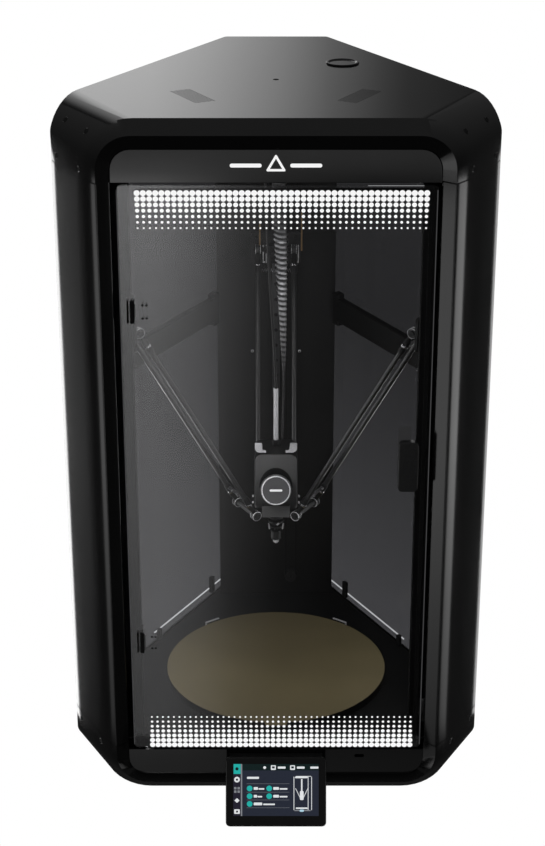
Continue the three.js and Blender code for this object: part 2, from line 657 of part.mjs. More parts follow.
function addPrintHead() {
  addPiece("effector_plate", effectorPlate(), DEEP_BLACK);
  addPiece("head_shell", headShell(), SATIN_BLACK);
  addPiece("fan_cover", fanCover(), SATIN_BLACK);
  addPiece("fan_rotor", fanRotor(), DEEP_BLACK);
  addPiece("hotend", hotend(), BRASS);
}

// ---------------------------------------------------------------- flexible lines

const LINE_TOP = BODY_HEIGHT - WALL - 6;

function flexible(points, radius, segments, steps) {
  const shape = new THREE.Shape(circle(radius, segments));
  const path = new THREE.CatmullRomCurve3(points);
  return new THREE.ExtrudeGeometry(shape, { steps, bevelEnabled: false, extrudePath: path });
}

function addFlexibleLines() {
  const hose = [p3(9, 14, HEAD_SHELL.high + 1), p3(11, 20, 559), p3(7, 60, 745), p3(3, 88, 900),
    p3(2, 95, LINE_TOP)];
  addPiece("cable_hose", flexible(hose, 8, 10, 16), RUBBER);
  const tube = [p3(0, 0, INLET_TOP + GAP), p3(-2, 6, 590), p3(-12, 60, 745), p3(-18, 90, 900),
    p3(-19, 95, LINE_TOP)];
  addPiece("filament_tube", flexible(tube, 2, 6, 16), DARK_METAL);
}

// ---------------------------------------------------------------- bed and electronics

function addBed() {
  const deckPlan = cabinetPlan(WALL + GAP + 0.2, FRAME_BACK_Y + 5);
  const deck = prism(deckPlan, DECK_TOP - COLUMN.sheet, DECK_TOP);
  const heel = Math.hypot(HINGE_X - DOOR.left, HINGE_Y - DOOR_FRONT_Y); // door edge behind its hinge
  const heelRoom = prism(circle(heel + 1, 24, HINGE_X, HINGE_Y), DOOR.low, DECK_TOP + 1);
  addPiece("floor_deck", cut(deck, heelRoom), DEEP_BLACK);

  const sheet = 1;
  const bedTop = PLATE_TOP - sheet - GAP;
  const bed = prism(circle(PLATE_RADIUS - 1, 60), DECK_TOP + GAP, bedTop);
  const tabs = [-1, 1].map((side) => {
    const turn = side * THREE.MathUtils.degToRad(37);
    return block(-12, 12, PLATE_RADIUS - 4, PLATE_RADIUS + 6, bedTop - 4, PLATE_TOP + 2).rotateZ(turn);
  });
  const plateRoom = prism(circle(PLATE_RADIUS + GAP, 72), bedTop, PLATE_TOP + 20);
  addPiece("heated_bed", cut(join(bed, ...tabs), plateRoom), DARK_METAL);

  const tongueOutline = rounded(rectangle(-16, 16, -PLATE_RADIUS - 9, -PLATE_RADIUS + 8), 4, 3);
  const tongue = prism(tongueOutline, bedTop + GAP, PLATE_TOP);
  const plate = prism(circle(PLATE_RADIUS, 72), bedTop + GAP, PLATE_TOP);
  addPiece("build_plate", join(plate, tongue), PEI);
}

const INLET_SWITCH = { low: INLET.x1 - 28, high: INLET.x1 - 8, z: (INLET.z0 + INLET.z1) / 2 };

function addElectronics() {
  const floor = WALL + GAP;
  addPiece("power_supply", block(-100, 100, 60, 160, floor, floor + 42), STEEL);

  const board = block(-70, 70, -90, 20, 18, 20);
  const corners = [[-62, -82], [62, -82], [62, 12], [-62, 12]];
  const posts = corners.map(([x, y]) => prism(circle(3, 8, x, y), floor, 19));
  addPiece("mainboard", join(board, ...posts), BOARD_GREEN);
  addPiece("power_inlet", powerInlet(), DEEP_BLACK);
  addPiece("power_switch", switchRocker(), SMOKED);
}

function powerInlet() {
  const { x0, x1, z0, z1 } = INLET;
  const face = CORNER_DISTANCE;
  const { low, high, z } = INLET_SWITCH;
  const border = 4;
  const flangeOutline = rounded(
    rectangle(x0 - border, x1 + border, z0 - border, z1 + border), border, 3);
  const flange = frontPlate(flangeOutline, face + GAP, face + 2.3);
  const body = block(x0 + GAP, x1 - GAP, face - 22, face + 1, z0 + GAP, z1 - GAP);
  const socketOutline = rounded(rectangle(x0 + 5, x0 + 33, z - 10, z + 10), 3, 3);
  const socket = frontPlate(socketOutline, face - 14, face + 5);
  const rockerRoom = block(low - 1, high + 1, face - 12, face + 5, z - 8, z + 8);
  return cut(join(flange, body), socket, rockerRoom);
}

// Extrudes a side-view outline of (y, z) points from x = low to x = high.
const sidePrism = (outline, low, high) => prism(outline, low, high).applyMatrix4(
  new THREE.Matrix4().makeBasis(p3(0, 1, 0), p3(0, 0, 1), p3(1, 0, 0)));

function switchRocker() {
  const face = CORNER_DISTANCE;
  const half = 6.5;
  const outline = [p2(face + 3.6, -half), p2(face + 1.2, 0), p2(face + 2.4, half),
    p2(face - 4, half), p2(face - 7, 0), p2(face - 4, -half)];
  return sidePrism(outline, INLET_SWITCH.low, INLET_SWITCH.high).translate(0, 0, INLET_SWITCH.z);
}

// ---------------------------------------------------------------- touch screen

// Sets a piece drawn about the screen's centre, with +Z out of its glass, onto the base.
function onScreen(geometry) {
  return geometry.rotateX(Math.PI / 2 - SCREEN_LEAN).translate(0, SCREEN.y, SCREEN.z);
}

function screenOutline(inset) {
  const [halfWidth, halfHeight] = [SCREEN.width / 2 - inset, SCREEN.height / 2 - inset];
  return rounded(rectangle(-halfWidth, halfWidth, -halfHeight, halfHeight), 6 - inset, 4);
}

function addScreen() {
  const { glass, depth } = SCREEN;
  addPiece("screen_case", onScreen(prism(screenOutline(0), -depth, -glass - GAP)), DEEP_BLACK);
  addPiece("screen_glass", onScreen(prism(screenOutline(1), -glass, 0)), SCREEN_BLACK);

  const half = 66;
  const [low, high] = [36, 62];
  const reach = (z) => SCREEN.y + (z - SCREEN.z) * Math.tan(SCREEN_LEAN)
    + (depth + 2 * GAP) / Math.cos(SCREEN_LEAN);
  const profile = [p2(DOOR_FRONT_Y - GAP, high), p2(DOOR_FRONT_Y - GAP, low), p2(reach(low), low),
    p2(reach(high), high)];
  addPiece("screen_bracket", sidePrism(profile, -half, half), DEEP_BLACK);
}

// ---------------------------------------------------------------- assembly

addTopCap();
addBase();
addCornerCovers();
addSidePanels();
addFrontPanels();
addDoor();
addTowers();
addPrintHead();
addFlexibleLines();
addBed();
addElectronics();
addScreen();

export default printer;
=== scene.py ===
"""Looks of an enclosed delta 3D printer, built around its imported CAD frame.

Metres, +Z up, the door towards -Y. Places come from the frame's boxes, record and joints.
A tower piece is drawn for the rear tower, whose rail looks along -Y, then turned.
"""

import json
import math

import bmesh
import bpy
from mathutils import Matrix, Vector


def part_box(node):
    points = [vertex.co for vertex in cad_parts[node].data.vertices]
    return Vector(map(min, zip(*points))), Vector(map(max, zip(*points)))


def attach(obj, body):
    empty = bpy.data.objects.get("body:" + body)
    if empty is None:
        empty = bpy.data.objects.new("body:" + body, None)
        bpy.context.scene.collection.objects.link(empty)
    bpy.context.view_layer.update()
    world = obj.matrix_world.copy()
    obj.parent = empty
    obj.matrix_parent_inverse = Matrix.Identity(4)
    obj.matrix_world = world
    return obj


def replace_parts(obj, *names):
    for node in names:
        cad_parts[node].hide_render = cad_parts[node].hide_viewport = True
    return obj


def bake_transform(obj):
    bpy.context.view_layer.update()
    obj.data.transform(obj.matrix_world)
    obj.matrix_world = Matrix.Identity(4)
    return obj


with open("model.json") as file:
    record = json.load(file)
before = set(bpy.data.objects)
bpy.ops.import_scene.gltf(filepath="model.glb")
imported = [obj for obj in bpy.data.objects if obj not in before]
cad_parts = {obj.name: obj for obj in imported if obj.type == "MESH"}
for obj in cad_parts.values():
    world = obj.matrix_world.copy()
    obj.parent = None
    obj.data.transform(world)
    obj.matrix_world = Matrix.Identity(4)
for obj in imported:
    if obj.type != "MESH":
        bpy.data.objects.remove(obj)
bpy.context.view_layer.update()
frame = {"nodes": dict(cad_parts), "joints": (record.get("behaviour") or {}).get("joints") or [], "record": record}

MM = 0.001
TOWER_TURNS = {"rear": 0.0, "right": -2 * math.pi / 3, "left": 2 * math.pi / 3}
PROUD = 0.15 * MM  # how far a printed or inlaid mark stands off the face under it

# ------------------------------------------------------------------ places read from the frame

DOOR_LOW, DOOR_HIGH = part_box("door_glass")
PLATE_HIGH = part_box("build_plate")[1]
RAIL_LOW, RAIL_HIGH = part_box("linear_rail_rear")
ARM_LOW, ARM_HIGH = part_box("arm_pair_rear")
HEAD_LOW, HEAD_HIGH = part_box("head_shell")
COVER_LOW, COVER_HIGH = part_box("corner_cover_right")
HEADER_LOW, HEADER_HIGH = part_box("header_panel")
FEET_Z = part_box("rubber_foot_left")[0].z
TOP_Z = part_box("top_cap")[1].z
ARM_EYE = 7 * MM  # outer radius of the eyes at the ends of an arm
HINGE_X = -190 * MM
NOZZLE_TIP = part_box("hotend")[0].z
HEAD_PIVOT = Vector((0, ARM_LOW.y + ARM_EYE, ARM_LOW.z + ARM_EYE))
CARRIAGE_PIVOT = Vector((0, ARM_HIGH.y - ARM_EYE, ARM_HIGH.z - ARM_EYE))
ARM_X = ARM_HIGH.x - 4.5 * MM
PLAN_ANGLE = math.radians(61.35)  # direction of the slanted cabinet faces
CORNER_NORMAL = Vector((math.sin(PLAN_ANGLE), -math.cos(PLAN_ANGLE), 0))
CORNER_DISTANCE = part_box("base_pan")[1].y  # the rear face is as far out as the front corner faces


# ------------------------------------------------------------------ shader helpers

class Graph:
    """Nodes under construction: node() adds a node, sets its inputs and returns it."""

    def __init__(self, name, world=None):
        self.owner = world or bpy.data.materials.new(name)
        self.owner.use_nodes = True
        self.tree = self.owner.node_tree
        self.tree.nodes.clear()
        self.output = self.node("OutputWorld" if world else "OutputMaterial")

    def node(self, kind, inputs=None, **settings):
        made = self.tree.nodes.new("ShaderNode" + kind)
        for key, value in settings.items():
            setattr(made, key, value)
        for key, value in (inputs or {}).items():
            self.feed(made.inputs[key], value)
        return made

    def feed(self, socket, value):
        if isinstance(value, bpy.types.NodeSocket):
            self.tree.links.new(value, socket)
        elif isinstance(value, bpy.types.Node):
            self.tree.links.new(value.outputs[0], socket)
        else:
            socket.default_value = value

    def place(self, stretch=(1, 1, 1)):
        """Object coordinates, which are the row frame's metres, scaled per axis."""
        coordinate = self.node("TexCoord")
        mapping = self.node("Mapping", {"Scale": stretch})
        self.tree.links.new(coordinate.outputs["Object"], mapping.inputs["Vector"])
        return mapping.outputs[0]

    def noise(self, scale, detail=3.0, stretch=(1, 1, 1)):
        made = self.node("TexNoise", {"Vector": self.place(stretch), "Scale": scale, "Detail": detail})
        return made.outputs[0]

    def between(self, value, low, high, start=0.3, end=0.7):
        """Maps value from start..end to low..high, clamped."""
        inputs = {"Value": value, "From Min": start, "From Max": end, "To Min": low, "To Max": high}
        return self.node("MapRange", inputs).outputs[0]

    def tint(self, value, low, high, start=0.3, end=0.7):
        """A colour that goes from low to high as value goes from start to end."""
        ramp = self.node("ValToRGB", {"Fac": value})
        ramp.color_ramp.elements[0].position = start
        ramp.color_ramp.elements[1].position = end
        ramp.color_ramp.elements[0].color = (*low, 1)
        ramp.color_ramp.elements[1].color = (*high, 1)
        return ramp.outputs[0]

    def ramp(self, value, stops):
        """A grey level that follows value through (position, level) stops."""
        made = self.node("ValToRGB", {"Fac": value})
        elements = made.color_ramp.elements
        elements[0].position, elements[1].position = stops[0][0], stops[-1][0]
        for position, _ in stops[1:-1]:
            elements.new(position)
        for element, (_, level) in zip(elements, stops):
            element.color = (level, level, level, 1)
        return made.outputs[0]

    def axis(self, index):
        """One object coordinate in metres: 0 for x, 1 for y, 2 for z."""
        coordinate = self.node("TexCoord")
        parts = self.node("SeparateXYZ", {"Vector": coordinate.outputs["Object"]})
        return parts.outputs[index]

    def combine(self, operation, first, second):
        return self.node("Math", {0: first, 1: second}, operation=operation).outputs[0]

    def times(self, first, second):
        return self.combine("MULTIPLY", first, second)

    def mix(self, share, first, second):
        """A shader that goes from first to second as share goes from 0 to 1."""
        return self.node("MixShader", {0: share, 1: first, 2: second})

    def seen_by_camera(self, strength=1.0):
        """strength for what the camera sees directly, nothing for light and reflections."""
        path = self.node("LightPath")
        return self.times(path.outputs["Is Camera Ray"], strength)

    def bump(self, height, strength, distance):
        inputs = {"Height": height, "Strength": strength, "Distance": distance}
        return self.node("Bump", inputs).outputs[0]

    def finish(self, shader):
        self.feed(self.output.inputs["Surface"], shader)
        return self.owner


def coated(name, dark, light, roughness, metallic=0.0, grain=900, bump=0.08, depth=0.1 * MM,
           patch=14, coat=0.0, stretch=(1, 1, 1), spread=0.05, specular=0.5):
    """A solid finish: slow colour and roughness drift, with a fine grain in its surface."""
    graph = Graph(name)
    slow = graph.noise(patch)
    fine = graph.noise(grain, 2.0, stretch)
    colour = graph.tint(slow, dark, light)
    rough = graph.between(fine, roughness - spread, roughness + spread)
    shader = graph.node("BsdfPrincipled", {
        "Base Color": colour, "Roughness": rough, "Metallic": metallic,
        "Coat Weight": coat, "Coat Roughness": 0.12, "Specular IOR Level": specular,
        "Normal": graph.bump(fine, bump, depth)})
    return graph.finish(shader)


def grey(value):
    return (value, value, value * 1.03)


# ------------------------------------------------------------------ materials

def satin_shell():
    """Moulded satin black: a fine even grain, with faint handling marks."""
    graph = Graph("satin_black_shell")
    slow = graph.noise(9)
    smear = graph.noise(26, 5.0, (1, 1, 0.35))
    fine = graph.noise(1500, 2.0)
    rough = graph.between(smear, 0.095, 0.12)
    shader = graph.node("BsdfPrincipled", {
        "Base Color": graph.tint(slow, grey(0.0042), grey(0.0062)),
        "Roughness": rough, "Specular IOR Level": 0.5,
        "Normal": graph.bump(fine, 0.05, 0.05 * MM)})
    return graph.finish(shader)


def steel(name="ground_steel", value=0.4, roughness=0.3):
    return coated(name, grey(value * 0.85), grey(value), roughness, metallic=1.0, grain=60,
                  stretch=(30, 30, 1), bump=0.05, spread=0.08)


def hotend_metal():
    """Dark heater and fins below, a bare bright tip, and a pale steel inlet tube on top."""
    graph = Graph("hotend_metal")
    height = graph.axis(2)
    tube = graph.between(height, 0.0, 1.0, HEAD_HIGH.z - 0.012, HEAD_HIGH.z - 0.008)
    tip = graph.between(height, 1.0, 0.0, NOZZLE_TIP + 0.004, NOZZLE_TIP + 0.006)
    bright = graph.combine("MAXIMUM", tube, tip)
    scratches = graph.noise(300, 3.0)
    dark = graph.tint(scratches, grey(0.004), grey(0.007))
    pale = graph.tint(scratches, grey(0.50), grey(0.62))
    colour = graph.node("MixRGB", {"Fac": bright, "Color1": dark, "Color2": pale})
    shader = graph.node("BsdfPrincipled", {
        "Base Color": colour, "Roughness": graph.between(scratches, 0.35, 0.5),
        "Metallic": graph.times(bright, 0.5)})
    return graph.finish(shader)


def head_painted_light():
    """The head's moulding with painted light: grey where it faces the door, high up and on the duct; painted
    shade, near black, round its sides and low down.
    """
    graph = Graph("head_painted_light")
    normal = graph.node("NewGeometry").outputs["Normal"]
    ahead = graph.node("SeparateXYZ", {"Vector": normal}).outputs[1]
    # painted light: faces turned to the door get the grey, other faces stay in painted shade
    front = graph.between(ahead, 1.0, 0.0, -0.9, -0.5)
    # painted shade low down: the grey fades out towards the head's foot
    upper = graph.between(graph.axis(2), 0.0, 1.0, HEAD_LOW.z + 0.020, HEAD_LOW.z + 0.065)
    duct = graph.between(graph.axis(1), 1.0, 0.0, HEAD_LOW.y + 0.0142, HEAD_LOW.y + 0.0152)
    lit = graph.combine("MAXIMUM", upper, duct)
    slow = graph.between(graph.noise(20), 0.9, 1.1)
    level = graph.between(graph.times(front, lit), 0.006, 0.058, 0.0, 1.0)
    shader = graph.node("BsdfPrincipled", {
        "Base Color": graph.times(level, slow), "Roughness": 0.42,
        "Normal": graph.bump(graph.noise(1300, 2.0), 0.08, 0.1 * MM)})
    return graph.finish(shader)


def circuit_board():
    """Green solder mask with paler copper pads."""
    graph = Graph("circuit_board")
    cells = graph.node("TexVoronoi", {"Vector": graph.place(), "Scale": 180.0})
    shader = graph.node("BsdfPrincipled", {
        "Base Color": graph.tint(cells.outputs[0], (0.2, 0.16, 0.06), (0.01, 0.07, 0.03), 0.1, 0.16),
        "Roughness": 0.35})
    return graph.finish(shader)


def print_surface():
    """Powder-coated spring steel: warm gold grains over a darker ground."""
    graph = Graph("textured_gold_sheet")
    grains = graph.noise(1400, 3.0)
    clouds = graph.noise(7, 4.0)
    base = graph.tint(clouds, (0.150, 0.128, 0.072), (0.178, 0.150, 0.086))
    speckle = graph.tint(grains, (0.55, 0.55, 0.55), (1.35, 1.3, 1.2), 0.35, 0.65)
    mixed = graph.node("MixRGB", {"Fac": 1.0, "Color1": base, "Color2": speckle}, blend_type="MULTIPLY")
    shader = graph.node("BsdfPrincipled", {
        "Base Color": mixed, "Roughness": graph.between(grains, 0.42, 0.6), "Metallic": 0.35,
        "Normal": graph.bump(grains, 0.35, 0.2 * MM)})
    return graph.finish(shader)


def carbon_tube():
    """A glossy wrap with a diagonal weave."""
    graph = Graph("carbon_weave")
    weave = graph.node("TexChecker", {
        "Vector": graph.place((1, 1, 0.7)), "Scale": 420.0,
        "Color1": (0.008, 0.008, 0.008, 1), "Color2": (0.020, 0.020, 0.021, 1)})
    shader = graph.node("BsdfPrincipled", {
        "Base Color": weave.outputs[0], "Roughness": 0.35, "Coat Weight": 1.0,
        "Coat Roughness": 0.06, "Specular IOR Level": 0.5,
        "Normal": graph.bump(weave.outputs[1], 0.1, 0.05 * MM)})
    return graph.finish(shader)


GLASS_INDEX = 1.45


def smoked(name, tint, gloss_roughness, reflect=1.0):
    """Clear smoked sheet: what is behind shows through the tint, with a glossy surface over it.

    Rays cross it without bending, so its far face mirrors just as much as its near face.
    """
    graph = Graph(name)
    streaks = graph.noise(11, 4.0, (1, 1, 0.3))
    side = graph.node("NewGeometry").outputs["Backfacing"]
    index = graph.between(side, GLASS_INDEX, 1 / GLASS_INDEX, 0.0, 1.0)
    fresnel = graph.node("Fresnel", {"IOR": index})
    amount = graph.times(fresnel.outputs[0], reflect)
    through = graph.node("BsdfTransparent", {"Color": tint(graph)})
    rough = graph.between(streaks, gloss_roughness, gloss_roughness * 1.8)
    gloss = graph.node("BsdfGlossy", {"Color": (0.95, 0.95, 0.96, 1), "Roughness": rough})
    return graph.finish(graph.mix(amount, through, gloss))


def door_tint(graph):
    """A faint even smoke; each of the pane's two faces passes this share."""
    return graph.tint(graph.noise(5), (0.90, 0.90, 0.905), (0.93, 0.93, 0.93))


def panel_tint_painted_light(graph):
    """Dark smoke that clears towards the foot of the panel; the clearing is painted light, standing in for the
    brighter light that shows through its lower part.
    """
    # painted light: the tint passes more towards the foot of the panel
    fade = graph.between(graph.axis(2), 1.0, 0.0, 0.12, 0.60)
    return graph.tint(fade, grey(0.153), grey(0.258), 0.0, 1.0)


def white_print_glow():
    """White ink drawn as a dark base with a camera-only glow: painted light that makes it look evenly lit from the
    front while it sheds little light behind it.
    """
    graph = Graph("white_print_glow")
    mottle = graph.noise(1200, 2.0)
    shader = graph.node("BsdfPrincipled", {
        "Base Color": graph.tint(mottle, grey(0.08), grey(0.11)), "Roughness": 0.6,
        # painted light: the white comes from a glow that only the camera sees
        "Emission Color": (1, 1, 1, 1), "Emission Strength": graph.seen_by_camera(0.90)})
    return graph.finish(shader)


def glow(name, colour, strength=1.0, grain=300):
    """A surface that glows for the camera only, with a slight mottle: the display's own light, and painted light
    on bright edges and the grip backing.
    """
    graph = Graph(name)
    mottle = graph.noise(grain)
    low = tuple(channel * 0.92 for channel in colour)
    shader = graph.node("Emission", {
        "Color": graph.tint(mottle, low, colour), "Strength": graph.seen_by_camera(strength)})
    return graph.finish(shader)


def display_glass():
    """Glossy black glass over a dark slate display."""
    graph = Graph("display_glass")
    slow = graph.noise(20)
    shader = graph.node("BsdfPrincipled", {
        "Base Color": graph.tint(slow, grey(0.003), grey(0.005)), "Roughness": 0.08,
        "Coat Weight": 0.5, "Coat Roughness": 0.03})
    return graph.finish(shader)


HOSE_PITCH = 7.2 * MM  # from rib to rib


def hose_painted_shade():
    """Pale ribs wound round a dark sleeve, darkened by painted shade where the sleeve thins towards its foot and
    again near its top.
    """
    graph = Graph("ribbed_sleeve_painted_shade")
    slant = graph.combine("ADD", graph.times(graph.axis(0), 0.12), graph.axis(2))
    turns = graph.combine("MODULO", graph.times(slant, 1 / HOSE_PITCH), 1.0)
    rib = graph.ramp(turns, ((0.0, 0.0), (0.28, 0.05), (0.42, 1.0), (0.72, 1.0), (1.0, 0.0)))
    # painted shade: the ribs fade to dark towards the thin lower end
    thin = graph.between(graph.axis(2), 0.06, 1.0, 0.565, 0.66)
    # painted shade: the ribs darken again near the top
    painted_top_shade = graph.between(graph.axis(2), 1.0, 0.15, 0.745, 0.765)
    fade = graph.times(thin, painted_top_shade)
    colour = graph.tint(graph.times(rib, fade), grey(0.010), grey(0.27), 0.0, 1.0)
    shader = graph.node("BsdfPrincipled", {
        "Base Color": colour, "Roughness": graph.between(graph.noise(600), 0.35, 0.5)})
    return graph.finish(shader)


def recess():
    """Painted shade for the dark inside of a hole or a slot, laid on as a flat near-black mark."""
    return coated("painted_hole_shade", grey(0.0005), grey(0.0015), 0.9, grain=500, bump=0.1)


SHELL = satin_shell()
SHEET = coated("powder_coated_sheet", grey(0.002), grey(0.004), 0.5, grain=1100, bump=0.25,
               specular=0.3)
PLASTIC = coated("moulded_black_plastic", grey(0.005), grey(0.010), 0.42, grain=1400, bump=0.12)
RUBBER = coated("matt_rubber", grey(0.004), grey(0.008), 0.8, grain=700, bump=0.3, specular=0.15)
STEEL = steel()
BRIGHT_STEEL = steel("bright_steel", 0.75, 0.22)
DARK_METAL = coated("black_anodised_metal", grey(0.02), grey(0.035), 0.38, metallic=0.8)
HOTEND = hotend_metal()
HEAD_PLASTIC = coated("head_plastic", grey(0.050), grey(0.062), 0.42, grain=1300)
HEAD_PAINTED_LIGHT = head_painted_light()
RING = coated("satin_chrome", grey(0.70), grey(0.85), 0.3, metallic=0.25, grain=400, bump=0.05)
RAIL = steel("dark_rail_steel", 0.10, 0.4)
HANDLE = coated("handle_plastic", grey(0.017), grey(0.021), 0.25, grain=1200, bump=0.06)
PALE_METAL = coated("pale_alloy", grey(0.40), grey(0.50), 0.45, metallic=0.3, grain=500, bump=0.1)
COPPER = coated("copper_tape", (0.17, 0.11, 0.05), (0.22, 0.14, 0.06), 0.4, metallic=0.4)
BOARD = circuit_board()
PRINT_SURFACE = print_surface()
CARBON = carbon_tube()
DOOR_SMOKE = smoked("smoked_door", door_tint, 0.015)
PANEL_SMOKE = smoked("smoked_panel", panel_tint_painted_light, 0.12, 0.5)
WHITE = white_print_glow()
# painted shade for the insides of holes and slots
HOLE_SHADE = recess()
DISPLAY = display_glass()
HOSE = hose_painted_shade()
JOINT_PLASTIC = coated("joint_plastic", grey(0.02), grey(0.035), 0.3, grain=900, bump=0.05)
# painted light: the grip's backing is a camera-only glow, not a lamp
HANDLE_BACKING_GLOW = glow("painted_handle_backing_light", grey(0.030), grain=200)
# painted highlights: camera-only glows for the light caught by the door's glass edges
GLASS_EDGE_HIGHLIGHT = glow("painted_glass_edge_highlight", grey(0.060), grain=25)
TOP_EDGE_HIGHLIGHT = glow("painted_top_edge_highlight", grey(0.30), grain=60)
# painted highlight: the side panels' lower edges glow for the camera
PANEL_EDGE_GLOW = glow("painted_panel_edge_glow", (0.62, 0.63, 0.65), grain=60)
UI_GROUND = glow("display_ground", (0.022, 0.026, 0.040))
UI_BAR = glow("display_bar", (0.008, 0.016, 0.016))
UI_SIDE = glow("display_side", (0.020, 0.018, 0.030))
UI_TEAL = glow("display_teal", (0.02, 0.42, 0.38))
UI_WHITE = glow("display_white", (0.78, 0.80, 0.82))
UI_DIM = glow("display_dim", (0.22, 0.23, 0.25))
UI_SKY = glow("display_sky", (0.45, 0.68, 0.80))

SLOT_MATERIALS = {
    "satin_black": SHELL,
    "black_sheet": SHEET,
    "black_plastic": PLASTIC,
    "smoked_panel": PANEL_SMOKE,
    "smoked_door": DOOR_SMOKE,
    "rail_steel": STEEL,
    "supply_case": STEEL,
    "dark_metal": DARK_METAL,
    "carbon_rod": CARBON,
    "hotend_metal": HOTEND,
    "build_surface": PRINT_SURFACE,
    "circuit_board": BOARD,
    "rubber": RUBBER,
    "tube_plastic": PLASTIC,
    "screen_glass": DISPLAY,
}
NODE_MATERIALS = {
    "head_shell": HEAD_PAINTED_LIGHT,
    "linear_rail_rear": RAIL,
    "port_grommet": SHELL,
    "door_handle": HANDLE,
    "fan_cover": HEAD_PLASTIC,
    "drive_pulley_rear": PLASTIC,
    "drive_pulley_left": PLASTIC,
    "drive_pulley_right": PLASTIC,
}


# ------------------------------------------------------------------ CAD nodes

BEVELS = {"top_cap": 1.2, "base_pan": 1.2, "corner_cover_left": 1.6, "corner_cover_right": 1.6,
          "rear_cover": 0.8, "head_shell": 1.0, "fan_cover": 0.8, "screen_case": 1.5,
          "door_handle": 1.5, "effector_plate": 0.8, "side_brace_left": 1.5,
          "side_brace_right": 1.5, "header_panel": 0.8, "chin_panel": 0.8, "build_plate": 0.3}
DEFAULT_BEVEL = 0.4


def finish_cad_node(name, piece, slot):
    """Gives a CAD node its material, joins its facets and softens its hard edges."""
    piece.data.materials.clear()
    piece.data.materials.append(NODE_MATERIALS.get(name, SLOT_MATERIALS[slot]))
    for face in piece.data.polygons:
        face.use_smooth = True
        face.material_index = 0
    weld = piece.modifiers.new("weld", "WELD")
    weld.merge_threshold = 1e-5
    flat = piece.modifiers.new("flat", "DECIMATE")
    flat.decimate_type = "DISSOLVE"
    flat.angle_limit = math.radians(0.6)
    bevel = piece.modifiers.new("bevel", "BEVEL")
    bevel.width = BEVELS.get(name, DEFAULT_BEVEL) * MM
    bevel.segments = 2
    bevel.limit_method = "ANGLE"
    bevel.angle_limit = math.radians(32)
    bevel.use_clamp_overlap = True
    bevel.harden_normals = False
    normals = piece.modifiers.new("normals", "WEIGHTED_NORMAL")
    normals.keep_sharp = False


def finish_cad_nodes():
    for part in frame["record"]["subparts"]:
        piece = frame["nodes"][part["node"]]
        finish_cad_node(part["node"], piece, part["material_slot"])


# ------------------------------------------------------------------ mesh helpers

